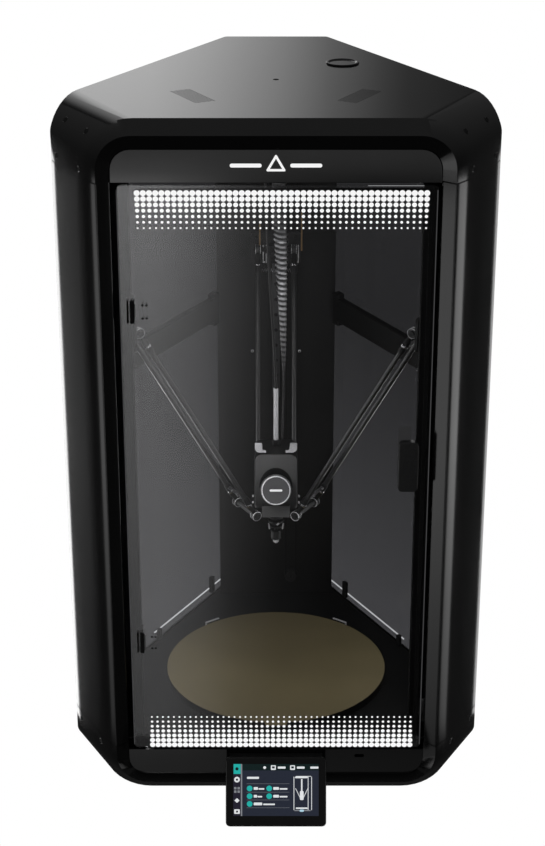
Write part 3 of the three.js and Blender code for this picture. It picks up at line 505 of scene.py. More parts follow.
class Shape:
    """A mesh under construction, made of closed solids that each have their own material."""

    def __init__(self):
        self.mesh = bmesh.new()
        self.materials = []

    def index(self, material):
        if material not in self.materials:
            self.materials.append(material)
        return self.materials.index(material)

    def faces(self, vertices, faces, material, place=Matrix(), smooth=True):
        made = [self.mesh.verts.new(place @ Vector(point)) for point in vertices]
        index = self.index(material)
        for corners in faces:
            face = self.mesh.faces.new([made[i] for i in corners])
            face.material_index = index
            face.smooth = smooth

    def turned(self, profile, material, place=Matrix(), segments=24):
        """A solid turned about Z from (radius, z) pairs; a zero radius closes an end."""
        vertices, rings = [], []
        for radius, z in profile:
            if radius <= 0:
                rings.append([len(vertices)])
                vertices.append((0, 0, z))
                continue
            rings.append(list(range(len(vertices), len(vertices) + segments)))
            for k in range(segments):
                angle = 2 * math.pi * k / segments
                vertices.append((radius * math.cos(angle), radius * math.sin(angle), z))
        faces = []
        for below, above in zip(rings, rings[1:]):
            for k in range(segments):
                after = (k + 1) % segments
                quad = [below[k % len(below)], below[after % len(below)],
                        above[after % len(above)], above[k % len(above)]]
                faces.append(list(dict.fromkeys(quad)))
        if len(rings[0]) > 1 and profile[0] != profile[-1]:
            faces.append(rings[0][::-1])
            faces.append(rings[-1])
        elif len(rings[0]) > 1:
            faces = [[i % (len(vertices) - segments) for i in face] for face in faces]
            vertices = vertices[:-segments]
        self.faces(vertices, faces, material, place)

    def prism(self, outline, low, high, material, place=Matrix()):
        """A plate over an outline of (x, y) points, from low to high along Z."""
        count = len(outline)
        vertices = [(x, y, low) for x, y in outline] + [(x, y, high) for x, y in outline]
        faces = [list(range(count))[::-1], list(range(count, 2 * count))]
        faces += [[k, (k + 1) % count, count + (k + 1) % count, count + k] for k in range(count)]
        self.faces(vertices, faces, material, place, smooth=False)

    def box(self, low, high, material, place=Matrix(), round_by=0.0):
        """A block, its upright edges rounded by round_by."""
        outline = rounded_rectangle(low[0], high[0], low[1], high[1], round_by)
        self.prism(outline, low[2], high[2], material, place)

    def disc(self, radius, low, high, material, place=Matrix(), segments=24):
        """A round slab about Z, from low to high."""
        self.turned([(0, low), (radius, low), (radius, high), (0, high)], material, place, segments)

    def rod(self, start, end, radius, material, segments=16, place=Matrix()):
        start, end = Vector(start), Vector(end)
        self.disc(radius, 0, (end - start).length, material, place @ along(start, end), segments)

    def sweep(self, path, radii, material, segments=16, place=Matrix()):
        """A round rod along path, with a radius at each point, closed at both ends."""
        vertices = []
        side = Vector((1, 0, 0))
        for i, point in enumerate(path):
            ahead = path[min(i + 1, len(path) - 1)]
            behind = path[max(i - 1, 0)]
            direction = (ahead - behind).normalized()
            side = (side - direction * side.dot(direction)).normalized()
            other = direction.cross(side)
            for k in range(segments):
                angle = 2 * math.pi * k / segments
                offset = side * math.cos(angle) + other * math.sin(angle)
                vertices.append(point + offset * radii[i])
        faces = [list(range(segments))[::-1]]
        last = len(vertices) - segments
        faces.append(list(range(last, len(vertices))))
        for i in range(len(path) - 1):
            here = i * segments
            for k in range(segments):
                after = (k + 1) % segments
                faces.append([here + k, here + after, here + segments + after, here + segments + k])
        self.faces(vertices, faces, material, place)

    def piece(self, name, body=None, slot=None):
        """Makes the object and, where a body is given, lets it ride on it."""
        data = bpy.data.meshes.new(name)
        bmesh.ops.recalc_face_normals(self.mesh, faces=self.mesh.faces)
        self.mesh.to_mesh(data)
        self.mesh.free()
        data.set_sharp_from_angle(angle=math.radians(35))
        for material in self.materials:
            data.materials.append(material)
        made = bpy.data.objects.new(name, data)
        bpy.context.scene.collection.objects.link(made)
        if body:
            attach(made, body)
        return made


def rounded_rectangle(x0, x1, y0, y1, radius=0.0, steps=4):
    if radius <= 0:
        return [(x0, y0), (x1, y0), (x1, y1), (x0, y1)]
    centres = [(x1 - radius, y0 + radius, -90), (x1 - radius, y1 - radius, 0),
               (x0 + radius, y1 - radius, 90), (x0 + radius, y0 + radius, 180)]
    outline = []
    for x, y, start in centres:
        for k in range(steps + 1):
            angle = math.radians(start + 90 * k / steps)
            outline.append((x + radius * math.cos(angle), y + radius * math.sin(angle)))
    return outline


def along(start, end):
    """A frame at start whose Z axis points to end."""
    turn = (end - start).to_track_quat("Z", "Y").to_matrix().to_4x4()
    return Matrix.Translation(start) @ turn


def facing(point, direction):
    return along(Vector(point), Vector(point) + Vector(direction))


def upright(point):
    """A frame at point for outlines seen from the front: X right, Y up and Z towards the viewer."""
    return Matrix.Translation(point) @ Matrix.Rotation(math.pi / 2, 4, "X")


def tower(name):
    return Matrix.Rotation(TOWER_TURNS[name], 4, "Z")


def smooth_path(points, steps=12):
    """Points along a Catmull-Rom curve through the given points."""
    points = [Vector(p) for p in points]
    padded = [2 * points[0] - points[1], *points, 2 * points[-1] - points[-2]]
    path = []
    for a, b, c, d in zip(padded, padded[1:], padded[2:], padded[3:]):
        for k in range(steps):
            t = k / steps
            path.append(0.5 * (2 * b + (c - a) * t + (2 * a - 5 * b + 4 * c - d) * t * t
                               + (3 * b - a - 3 * c + d) * t ** 3))
    path.append(points[-1])
    return path


def add_screw(shape, point, direction, radius, material, socket=True):
    """A domed screw head with a hexagon socket, the socket a flat mark of painted shade."""
    place = facing(point, direction)
    high = radius * 0.45
    sunk = -0.5 * MM
    shape.turned([(0, sunk), (radius, sunk), (radius, high * 0.35), (radius * 0.85, high * 0.8),
                  (radius * 0.6, high), (0, high)], material, place, 20)
    if socket:
        shape.disc(radius * 0.42, high, high + PROUD, HOLE_SHADE, place, 6)


# ------------------------------------------------------------------ door

DOT_COLUMNS = 48
DOT_PITCH = 7.8 * MM
DOT_TOP = [3.9, 3.65, 3.15, 2.65, 2.2, 1.8, 1.35]  # radii in mm, from the outer row inwards
DOT_ROW_PITCH = 7.65 * MM
DOT_MARGIN = 10 * MM  # outer rows to the ends of the door
DOT_BOTTOM_MARGIN = 4.8 * MM
DOT_SHIFT = 6 * MM  # the fields sit this far right of the pane's middle
GRIP_BACKING = (162.5 * MM, 180 * MM, 500 * MM, 567 * MM)  # left, right, foot and head
LIT_TOP_EDGE = (116 * MM, 187 * MM)  # the stretch of the pane's top edge that shines


def build_door_dots():
    shape = Shape()
    width = (DOT_COLUMNS - 1) * DOT_PITCH
    first = (DOOR_LOW.x + DOOR_HIGH.x) / 2 - width / 2 + DOT_SHIFT
    face = DOOR_LOW.y
    for row, radius in enumerate(DOT_TOP):
        high = DOOR_HIGH.z - DOT_MARGIN - row * DOT_ROW_PITCH
        low = DOOR_LOW.z + DOT_BOTTOM_MARGIN + row * DOT_ROW_PITCH
        for column in range(DOT_COLUMNS):
            for z in (high, low):
                place = facing((first + column * DOT_PITCH, face, z), (0, -1, 0))
                shape.disc(radius * MM, 0, PROUD, WHITE, place, 14)
    return shape.piece("door_dots", "door")


def build_door_trim():
    """A rubber seal and the grip's backing behind the pane, lit by a painted glow, and the clamps of its two
    hinges.
    """
    shape = Shape()
    back = DOOR_HIGH.y
    inset, width, thick = 5 * MM, 5 * MM, 3 * MM
    x0, x1 = DOOR_LOW.x + 26 * MM, DOOR_HIGH.x - inset
    z0, z1 = DOOR_LOW.z + inset, DOOR_HIGH.z - inset
    shape.box((x0, back, z0), (x1, back + thick, z0 + width), RUBBER)
    shape.box((x0, back, z1 - width), (x1, back + thick, z1), RUBBER)
    shape.box((x1 - width, back, z0 + width), (x1, back + thick, z1 - width), RUBBER)
    backing = rounded_rectangle(*GRIP_BACKING, 5 * MM)
    # the backing glows with painted light
    shape.prism(backing, -2 * MM, 0, HANDLE_BACKING_GLOW, upright((0, back, 0)))
    for name in ("door_hinge_upper", "door_hinge_lower"):
        low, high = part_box(name)
        add_hinge_clamp(shape, (low.z + high.z) / 2)
    return shape.piece("door_trim", "door")


def add_hinge_clamp(shape, z):
    """The outer half of a hinge: a tall narrow clamp on the pane's face and its four rivets."""
    face = DOOR_LOW.y
    half = 15 * MM
    plate, lip = HINGE_X + 4 * MM, HINGE_X - 2 * MM
    for x, width, thick in ((plate, 5.6 * MM, 3 * MM), (lip, 2.4 * MM, 2 * MM)):
        outline = rounded_rectangle(-width / 2, width / 2, -half, half, 1 * MM)
        shape.prism(outline, -0.1 * MM, thick, RUBBER, upright((x, face, z)))
    for x in (HINGE_X + 17.5 * MM, HINGE_X + 22.5 * MM):
        for offset in (-9 * MM, 9 * MM):
            spot = facing((x, face, z + offset), (0, -1, 0))
            shape.turned([(0, 0), (1.7 * MM, 0), (1.3 * MM, 0.3 * MM), (0, 0.35 * MM)], PLASTIC, spot, 12)


def build_door_edges():
    """Painted highlights on the pane's polished edges, glowing strips where they catch the light: both uprights
    and part of the top.
    """
    shape = Shape()
    face = DOOR_LOW.y - 0.05 * MM
    width, thick, rounding = 1.3 * MM, 0.2 * MM, 6 * MM
    low, high = DOOR_LOW.z + rounding, DOOR_HIGH.z - rounding
    for x in (DOOR_LOW.x, DOOR_HIGH.x - width):
        shape.box((x, face, low), (x + width, face + thick, high), GLASS_EDGE_HIGHLIGHT)
    start, end = LIT_TOP_EDGE
    shape.box((start, face, DOOR_HIGH.z - 0.8 * MM), (end, face + thick, DOOR_HIGH.z), TOP_EDGE_HIGHLIGHT)
    return shape.piece("door_edges", "door")


# ------------------------------------------------------------------ cabinet details

def build_header_mark():
    """A generic white mark on the header: an outlined triangle between two plain bars."""
    shape = Shape()
    middle = Vector(((HEADER_LOW.x + HEADER_HIGH.x) / 2, HEADER_LOW.y,
                     (HEADER_LOW.z + HEADER_HIGH.z) / 2 + 1 * MM))
    place = upright(middle)
    radius, line = 12 * MM, 3 * MM
    corners = [(radius * math.cos(math.radians(a)), radius * math.sin(math.radians(a)))
               for a in (90, 210, 330)]
    for (x0, y0), (x1, y1) in zip(corners, corners[1:] + corners[:1]):
        reach = math.hypot(x1 - x0, y1 - y0) / 2 + line / 2
        turn = Matrix.Rotation(math.atan2(y1 - y0, x1 - x0), 4, "Z")
        shift = Matrix.Translation(((x0 + x1) / 2, (y0 + y1) / 2, 0))
        bar = rounded_rectangle(-reach, reach, -line / 2, line / 2, line * 0.4)
        shape.prism(bar, 0, PROUD, WHITE, place @ shift @ turn)
    for side in (-1, 1):
        x0, x1 = sorted((side * 18 * MM, side * 58 * MM))
        bar = rounded_rectangle(x0, x1, -2.5 * MM, 2.5 * MM, 2.2 * MM)
        shape.prism(bar, 0, PROUD, WHITE, place)
    return shape.piece("header_mark", "cabinet")


VENT_LENGTH = 76 * MM
VENT_WIDTH = 30 * MM
VENT_HOLE = 1.0 * MM
VENT_PITCH = 4.2 * MM
VENT_CENTRE = Vector((109, -72)) * MM


def build_top_vents():
    """Two fields of small round holes in the top plate and a dark disc over the rim of its single hole, all flat
    marks of painted shade.
    """
    shape = Shape()
    row_pitch = VENT_PITCH * 0.866  # rows of a triangular pattern
    rows = int(VENT_WIDTH / row_pitch)
    columns = int(VENT_LENGTH / VENT_PITCH)
    for side in (-1, 1):
        direction = Vector((-side * math.cos(PLAN_ANGLE), -math.sin(PLAN_ANGLE)))
        across = Vector((-direction.y, direction.x))
        centre = Vector((side * VENT_CENTRE.x, VENT_CENTRE.y))
        for row in range(rows):
            for column in range(columns):
                u = (column + (row % 2) / 2 - columns / 2 + 0.25) * VENT_PITCH
                v = (row - (rows - 1) / 2) * row_pitch
                point = centre + direction * u + across * v
                place = Matrix.Translation((point.x, point.y, TOP_Z))
                shape.disc(VENT_HOLE, 0, PROUD, HOLE_SHADE, place, 8)
    shape.disc(4 * MM, 0, PROUD, HOLE_SHADE, Matrix.Translation((0, 23 * MM, TOP_Z)), 20)
    return shape.piece("top_vents", "cabinet")


def corner_point(side, position, z):
    """A point on a front corner face: position 0 at its front edge, 1 at its rear edge."""
    front, rear = Vector((243, -186, 0)) * MM, Vector((291, -100, 0)) * MM
    point = front.lerp(rear, position)
    normal = CORNER_NORMAL
    rounding = 58 * MM
    drop = max(0.0, z - (TOP_Z - rounding), rounding - z)
    distance = CORNER_DISTANCE - (rounding - math.sqrt(max(rounding ** 2 - drop ** 2, 0)))
    point += normal * (distance - point.dot(normal))
    tilt = math.asin(min(drop / rounding, 1.0)) * (1 if z > 0.5 else -1)
    outward = normal * math.cos(tilt) + Vector((0, 0, math.sin(tilt)))
    mirror = Vector((side, 1, 1))
    return Vector((point.x, point.y, z)) * mirror, outward * mirror


# Heights of the sunk screws on each front corner face, with how far round the face they sit.
SCREW_SPOTS = {0.962: (0.10, 0.78), 0.916: (0.06, 0.80), 0.069: (0.10, 0.81)}


def build_shell_screws():
    """Sunk screws that hold the top cap and the base to the corner covers, and the rear rows."""
    shape = Shape()
    for z, positions in SCREW_SPOTS.items():
        for side in (-1, 1):
            for position in positions:
                point, outward = corner_point(side, position, z)
                place = facing(point, outward)
                shape.turned([(0, -0.3 * MM), (4.4 * MM, -0.3 * MM), (4.4 * MM, 0.12 * MM),
                              (3.8 * MM, 0.4 * MM), (3.4 * MM, 0.1 * MM), (0, 0.1 * MM)],
                             SHELL, place, 20)
                # painted shade in the hollow of the sunk screw
                shape.disc(3.3 * MM, 0.1 * MM, 0.22 * MM, HOLE_SHADE, place, 20)
    low, high = COVER_LOW.z + 0.03, COVER_HIGH.z - 0.03
    for z in (low, (low + high) / 2, high):
        for x in (-0.055, 0.055):
            add_screw(shape, (x, CORNER_DISTANCE, z), (0, 1, 0), 3.5 * MM, DARK_METAL)
    return shape.piece("shell_screws", "cabinet")


def build_rear_grille():
    """Cooling slots in the rear cover, drawn as flat marks of painted shade."""
    shape = Shape()
    for row in range(9):
        z = 0.6 + row * 0.012
        slot = rounded_rectangle(-0.04, 0.04, -2 * MM, 2 * MM, 2 * MM)
        turn = Matrix.Translation((0, CORNER_DISTANCE, z)) @ Matrix.Rotation(-math.pi / 2, 4, "X")
        shape.prism(slot, -0.1 * MM, PROUD, HOLE_SHADE, turn)
    return shape.piece("rear_grille", "cabinet")


# ------------------------------------------------------------------ flexible lines

def build_hose():
    """A corrugated cable sleeve that thins out towards the print head."""
    low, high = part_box("cable_hose")
    path = smooth_path([(9 * MM, 14 * MM, low.z), (11 * MM, 20 * MM, 0.559), (9 * MM, 42 * MM, 0.66),
                        (7 * MM, 60 * MM, 0.745), (3 * MM, 88 * MM, 0.9), (2 * MM, 95 * MM, high.z)], 70)
    thick, thin = 10.5 * MM, 1.4 * MM
    radii = []
    travelled = 0.0
    for i, point in enumerate(path):
        travelled += (point - path[max(i - 1, 0)]).length
        share = min(max((point.z - 0.56) / 0.20, 0), 1)
        sleeve = thin + (thick - thin) * share ** 0.7
        ripple = 0.5 + 0.5 * math.cos(2 * math.pi * travelled / HOSE_PITCH)
        radii.append(sleeve - 2.6 * MM * share * (1 - ripple) ** 2)
    shape = Shape()
    shape.sweep(path, radii, HOSE, 18)
    hose = shape.piece("corrugated_hose", slot="rubber")
    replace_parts(hose, "cable_hose")
    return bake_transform(hose)


def build_tube():
    low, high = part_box("filament_tube")
    path = smooth_path([(0, 0, low.z), (-2 * MM, 6 * MM, 0.59), (-12 * MM, 60 * MM, 0.745),
                        (-18 * MM, 90 * MM, 0.9), (-19 * MM, 95 * MM, high.z)], 16)
    shape = Shape()
    shape.sweep(path, [2 * MM] * len(path), PLASTIC, 14)
    tube = shape.piece("guide_tube", slot="tube_plastic")
    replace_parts(tube, "filament_tube")
    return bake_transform(tube)


# ------------------------------------------------------------------ arms

def spring_path(start, end, radius, turns, steps=10):
    axis = end - start
    side = axis.orthogonal().normalized()
    other = axis.normalized().cross(side)
    path = []
    for k in range(turns * steps + 1):
        t = k / (turns * steps)
        angle = 2 * math.pi * turns * t
        path.append(start + axis * t + (side * math.cos(angle) + other * math.sin(angle)) * radius)
    return path


def add_arm_end(shape, near, far, place):
    """The metal sleeve of an arm's end, with its bright band, and the open cup it ends in."""
    axis = place @ along(near, far)
    shape.turned([(0, 6 * MM), (3.2 * MM, 6 * MM), (3.4 * MM, 13 * MM), (4.8 * MM, 16 * MM),
                  (5 * MM, 34 * MM), (4.2 * MM, 37 * MM), (0, 37 * MM)], DARK_METAL, axis, 20)
    cup = place @ along(near - Vector((4.3 * MM, 0, 0)), near + Vector((1, 0, 0)))
    wide = 8.6 * MM
    shape.turned([(4.4 * MM, 0), (6.2 * MM, 0), (7 * MM, 1.2 * MM), (7 * MM, wide - 1.2 * MM),
                  (6.2 * MM, wide), (4.4 * MM, wide), (4.4 * MM, 0)], JOINT_PLASTIC, cup, 24)
    for rim in (0.3 * MM, wide - 0.9 * MM):
        shape.turned([(6.6 * MM, rim), (7.15 * MM, rim + 0.1 * MM), (7.15 * MM, rim + 0.5 * MM),
                      (6.6 * MM, rim + 0.6 * MM), (6.6 * MM, rim)], RING, cup, 24)
    band = [(5, 22), (5.25, 22.6), (5.25, 25), (5, 25.6), (5, 22)]
    shape.turned([(radius * MM, z * MM) for radius, z in band], BRIGHT_STEEL, axis, 20)


def build_arms(name):
    """Two carbon tubes with metal sleeves and open cups, tied by a spring at each end."""
    shape = Shape()
    place = tower(name)
    across = Vector((ARM_X, 0, 0))
    for side in (-1, 1):
        foot = HEAD_PIVOT + side * across
        top = CARRIAGE_PIVOT + side * across
        shape.rod(foot.lerp(top, 0.07), foot.lerp(top, 0.93), 3.7 * MM, CARBON, 20, place)
        for near, far in ((foot, top), (top, foot)):
            add_arm_end(shape, near, far, place)
    for share in (0.09, 0.91):
        middle = HEAD_PIVOT.lerp(CARRIAGE_PIVOT, share)
        path = spring_path(middle - across, middle + across, 2.4 * MM, 16)
        shape.sweep(path, [0.45 * MM] * len(path), STEEL, 6, place)
    arms = shape.piece(f"arms_{name}", f"{name}_carriage", "carbon_rod")
    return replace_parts(arms, f"arm_pair_{name}")


# ------------------------------------------------------------------ tower details

RAIL_BOLT_PITCH = 25 * MM
COLUMN_SCREW_X = 36.5 * MM  # rear column, either side of its rail
COLUMN_SCREW_Z = 509 * MM
GUIDE_FOOT = 657 * MM  # heights on the rear carriage
GUIDE_TOP = 685 * MM
STRIP_FOOT = 676 * MM


def build_tower_details(name):
    """The bolts of one tower's rail."""
    shape = Shape()
    place = tower(name)
    face = RAIL_LOW.y
    z = RAIL_LOW.z + 12 * MM
    while z < RAIL_HIGH.z:
        spot = place @ facing((0, face, z), (0, -1, 0))
        shape.turned([(0, 0), (2.9 * MM, 0), (2.9 * MM, PROUD), (2.4 * MM, PROUD), (2.4 * MM, 0.05 * MM),
                      (0, 0.05 * MM)], DARK_METAL, spot, 16)
        z += RAIL_BOLT_PITCH
    return shape.piece(f"tower_fittings_{name}", "cabinet")


def build_rear_column_marks():
    """Two bright screws in the rear column beside its rail."""
    shape = Shape()
    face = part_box("tower_column_rear")[0].y
    for side in (-1, 1):
        spot = (side * COLUMN_SCREW_X, face, COLUMN_SCREW_Z)
        add_screw(shape, spot, (0, -1, 0), 2.4 * MM, PALE_METAL)
    return shape.piece("rear_column_screws", "cabinet")


def build_carriage_bolts(name):
    shape = Shape()
    place = tower(name)
    low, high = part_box("carriage_rear")
    plate = CARRIAGE_PIVOT.y + 7.5 * MM
    middle = (low.z + high.z) / 2
    for x in (-29 * MM, 29 * MM):
        for z in (-17 * MM, 17 * MM):
            point = place @ Vector((x, plate, middle + z))
            add_screw(shape, point, place @ Vector((0, -1, 0)), 3 * MM, DARK_METAL)
    return shape.piece(f"carriage_bolts_{name}", f"{name}_carriage")


def build_rear_carriage_guides():
    """Pale guide blades and the two copper strips that stand up from the rear carriage."""
    shape = Shape()
    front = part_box("carriage_rear")[0].y + 2 * MM
    thick = 1.2 * MM
    for x in (-20 * MM, -15.5 * MM, 27.5 * MM, 33 * MM):
        shape.box((x, front, GUIDE_FOOT), (x + 1.4 * MM, front + thick, GUIDE_TOP), PALE_METAL)
    for x in (-18.6 * MM, 31 * MM):
        shape.box((x, front, GUIDE_FOOT), (x + 2 * MM, front + thick, GUIDE_FOOT + 2.5 * MM), PALE_METAL)
    for x, top in ((-25.5 * MM, 722 * MM), (37.4 * MM, 738 * MM)):
        shape.box((x, front, STRIP_FOOT), (x + 2.4 * MM, front + thick, top), COPPER)
    return shape.piece("rear_carriage_guides", "rear_carriage")


# ------------------------------------------------------------------ print head details

def build_head_details():
    """Fan rings and cap, front plate, top brackets, tube collar, screws, pins and nozzle tip."""
    shape = Shape()
    add_fan_ring(shape)
    add_fan_shadow(shape)
    for side in (-1, 1):
        add_head_bracket(shape, side)
        for z in (HEAD_LOW.z + 30 * MM, HEAD_LOW.z + 20 * MM):
            add_screw(shape, (side * 33 * MM, HEAD_LOW.y + 22 * MM, z), (side, -0.6, 0.3), 1.8 * MM,
                      PALE_METAL, socket=False)
    shape.turned([(3.6 * MM, 0), (6.5 * MM, 0), (6.5 * MM, 7 * MM), (5 * MM, 9 * MM), (3.6 * MM, 9 * MM),
                  (3.6 * MM, 0)], DARK_METAL, Matrix.Translation((0, 0, HEAD_HIGH.z)), 6)
    front, low = -18 * MM, NOZZLE_TIP + 32 * MM
    high = low + 9 * MM
    for x in (-9.5 * MM, 9.5 * MM):
        shape.rod((x, front, low), (x * 1.12, front, high), 1.1 * MM, PALE_METAL, 10)
    shape.rod((1.5 * MM, front, low + 6 * MM), (4 * MM, front, high), 1.5 * MM, PALE_METAL, 10)
    add_head_face(shape)
    tip = Matrix.Translation((0, 0, NOZZLE_TIP + 0.3 * MM))
    shape.turned([(0, 0), (1.6 * MM, 0), (4.4 * MM, 2.2 * MM), (4.4 * MM, 5.5 * MM), (3.6 * MM, 6.2 * MM),
                  (0, 6.2 * MM)], RING, tip, 6)
    return shape.piece("head_fittings", "print_head")


def add_head_face(shape):
    """The front plate of the head in its painted light, grey high up and fading to painted shade low down, its two
    upper corners well rounded.
    """
    low, high = HEAD_LOW.z + 17 * MM, HEAD_HIGH.z + 5 * MM
    half, corner = 29.5 * MM, 9 * MM
    outline = [(-half, low), (half, low)]
    for side in (1, -1):
        for k in range(7):
            angle = math.radians(15 * k if side > 0 else 90 + 15 * k)
            outline.append((side * (half - corner) + corner * math.cos(angle),
                            high - corner + corner * math.sin(angle)))
    shape.prism(outline, -2 * MM, 0.8 * MM, HEAD_PAINTED_LIGHT, upright((0, HEAD_LOW.y + 17.7 * MM, 0)))


def fan_place():
    joint = next(j for j in frame["joints"] if j["name"] == "fan_spin")
    return facing(Vector(joint["pos_m"]), Vector(joint["axis"]))


def add_fan_ring(shape):
    """A bright ring around the flat fan cap, with a second, thinner one behind it."""
    place = fan_place()
    cover = 11 * MM
    for radius, foot, width in ((20.8 * MM, cover - 2.5 * MM, 1.7 * MM), (21.9 * MM, 1.5 * MM, 0.9 * MM)):
        inner = radius - width
        shape.turned([(inner, foot), (radius, foot), (radius, foot + 2.6 * MM),
                      (inner + 0.3 * MM, foot + 3.2 * MM), (inner, foot + 2.6 * MM), (inner, foot)],
                     RING, place, 48)
    shape.disc(19 * MM, cover - 0.2 * MM, cover + 0.25 * MM, HEAD_PLASTIC, place, 48)
    label = place @ Matrix.Translation((0, 0, cover + 0.25 * MM))
    shape.box((-9 * MM, -1.5 * MM, 0), (9 * MM, 1.5 * MM, PROUD), WHITE, label, round_by=1.4 * MM)


def add_fan_shadow(shape):
    """A painted shadow: a dark arch on the head's front above the fan, where the fan cover shades its seat."""
    face = HEAD_LOW.y + 16.9 * MM  # the head's front plate, behind the fan cover
    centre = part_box("fan_cover")[0].z + 20 * MM
    half, rise = 24 * MM, 31 * MM
    angles = [math.radians(degrees) for degrees in range(0, 181, 10)]
    arch = [(half * math.cos(angle), rise * math.sin(angle)) for angle in angles]
    # painted shadow laid flat on the head's front plate
    shape.prism(arch, -0.1 * MM, PROUD, HOLE_SHADE, upright((0, face, centre)))


def add_head_bracket(shape, side):
    """A pale cup-shaped bracket on the shell's top: a tall outer wall and a foot turned inwards."""
    steps = [math.radians(a) for a in range(180, 271, 15)]
    bend = 7 * MM
    curve = [(bend + bend * math.cos(a), bend + bend * math.sin(a)) for a in steps]
    outline = [(0, 14 * MM), *curve, (16 * MM, 0), (16 * MM, 2.5 * MM), (11 * MM, 4 * MM),
               (10 * MM, 14 * MM)]
    outline = [(side * (x - 30 * MM), z) for x, z in outline]
    place = upright((0, HEAD_LOW.y + 22 * MM, HEAD_HIGH.z + 7 * MM))
    shape.prism(outline, 0, 3 * MM, PALE_METAL, place)


# ------------------------------------------------------------------ touch screen

def build_display():
    """A generic start page: side column, status bar, five readings, a drawing of the machine."""
    shape = Shape()
    low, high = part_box("screen_glass")
    lean = math.radians(23)
    depth = Vector((0, -math.cos(lean), math.sin(lean)))
    centre = Vector((0, (low.y + high.y) / 2, (low.z + high.z) / 2)) + depth * (1 * MM)
    place = Matrix.Translation(centre) @ Matrix.Rotation(math.pi / 2 - lean, 4, "X")

    def mark(x0, x1, y0, y1, material, layer=1, radius=0.0):
        outline = rounded_rectangle(x0 * MM, x1 * MM, y0 * MM, y1 * MM, radius * MM)
        shape.prism(outline, 0, layer * 0.08 * MM, material, place)

    mark(-60.5, 60.5, -33.5, 40, UI_GROUND)
    mark(-48, 60.5, 31, 40, UI_BAR, 2)
    mark(-60.5, -49.8, -33.5, 40, UI_SIDE, 2)
    mark(-49.8, -47.8, -33.5, 40, UI_DIM, 3)
    mark(-60, -50, 26, 40, UI_TEAL, 4)
    mark(-57.5, -53, 31, 35.5, UI_BAR, 5, 2)
    add_column_icons(mark)
    add_status_marks(mark)
    add_readings(mark)
    add_machine_drawing(mark)
    return shape.piece("display_page", "cabinet")


def add_column_icons(mark):
    """Four plain symbols in the side column: a ring, a grid, a diamond and a camera-like block."""
    middle = -55.2
    mark(middle - 4, middle + 4, 14, 22, UI_WHITE, 3, 3.9)
    mark(middle - 1.6, middle + 1.6, 16.4, 19.6, UI_SIDE, 4, 1.5)
    for dx in (-2.4, 2.4):
        for dy in (-2.4, 2.4):
            mark(middle + dx - 1.7, middle + dx + 1.7, 3.4 + dy - 1.7, 3.4 + dy + 1.7, UI_DIM, 3, 0.5)
    for half in (4.0, 2.8, 1.4):
        mark(middle - half, middle + half, -11.6 - (4.2 - half), -11.6 + (4.2 - half), UI_WHITE, 3, 0.4)
    mark(middle - 4, middle + 4, -30.5, -24, UI_WHITE, 3, 1.2)
    mark(middle - 1.5, middle + 1.5, -28.8, -25.8, UI_SIDE, 4, 1.4)


def add_status_marks(mark):
    """A dot, two small symbols and three plain bars along the status bar."""
    middle = 35
    mark(-18, -14, middle - 2, middle + 2, UI_WHITE, 3, 1.9)
    for x in (-7.2, 20):
        mark(x, x + 7, middle - 3.3, middle + 3.3, UI_WHITE, 3, 1)
        mark(x + 1.6, x + 5.4, middle - 1.2, middle + 1.8, UI_BAR, 4, 0.4)
    for x, length in ((2.6, 11), (29.6, 11), (48.6, 11.5)):
        mark(x, x + length, middle - 1.5, middle + 1.5, UI_WHITE, 3, 0.8)


def add_readings(mark):
    """A heading bar, then teal buttons with plain label bars between faint rules."""
    mark(-41, -24, 19, 22, UI_WHITE, 3, 1)
    for y in (12, 0, -11, -22):
        mark(-41.5, 19, y, y + 0.3, UI_DIM, 3)
    rows = [(5.5, ((-37.3, 15), (-9.6, 20))), (-5.5, ((-37.3, 12), (-9.6, 20))), (-16.4, ((-37.3, 30),))]
    for y, readings in rows:
        for x, length in readings:
            mark(x - 4, x + 4, y - 4, y + 4, UI_TEAL, 3, 3.9)
            start = x + 5.8
            mark(start, start + length * 0.4, y - 1.9, y + 1.9, UI_WHITE, 3, 0.8)
            mark(start + length * 0.45, start + length, y - 1.7, y + 0.4, UI_WHITE, 3, 0.7)


def add_machine_drawing(mark):
    """A plain line drawing of a tall cabinet with three hanging arms and a bed."""
    x0, x1, y0, y1 = 25, 46, -26, 23
    line = 0.9
    for x in (x0, x1 - line, x1 + 4):
        mark(x, x + line, y0 + 1, y1 - 1, UI_WHITE, 3)
    mark(x0 + 2, x1 - 1, y1 - 3, y1 - 0.8, UI_WHITE, 3, 1)
    mark(x0 + 3, x1 + 4, y1 - 0.8, y1, UI_WHITE, 3, 0.3)
    middle = (x0 + x1) / 2 + 1
    mark(middle - 1, middle + 1, 0, y1 - 4, UI_WHITE, 3, 0.8)
    mark(middle - 2.6, middle + 2.6, -11, 2, UI_WHITE, 3, 1.6)
    for k in range(10):
        t = k / 9
        for side in (-1, 1):
            x = middle + side * (2.5 + 6 * t)
            mark(x - 0.35, x + 0.35, -8 + 12 * t, -6.2 + 12 * t, UI_WHITE, 3)
    mark(x0 + 3, x1 - 1, y0 + 2.5, y0 + 4.5, UI_WHITE, 3, 0.9)
    mark(x0 + 1, x1 + 3, y0 - 0.5, y0 + 1, UI_DIM, 3, 0.5)
    mark(middle - 3, middle + 3, y0 - 1.5, y0 + 1.5, UI_SKY, 4, 1.2)


# ------------------------------------------------------------------ side panels and bed fittings

SIDE_DISTANCE = 213 * MM  # plate axis to a long side


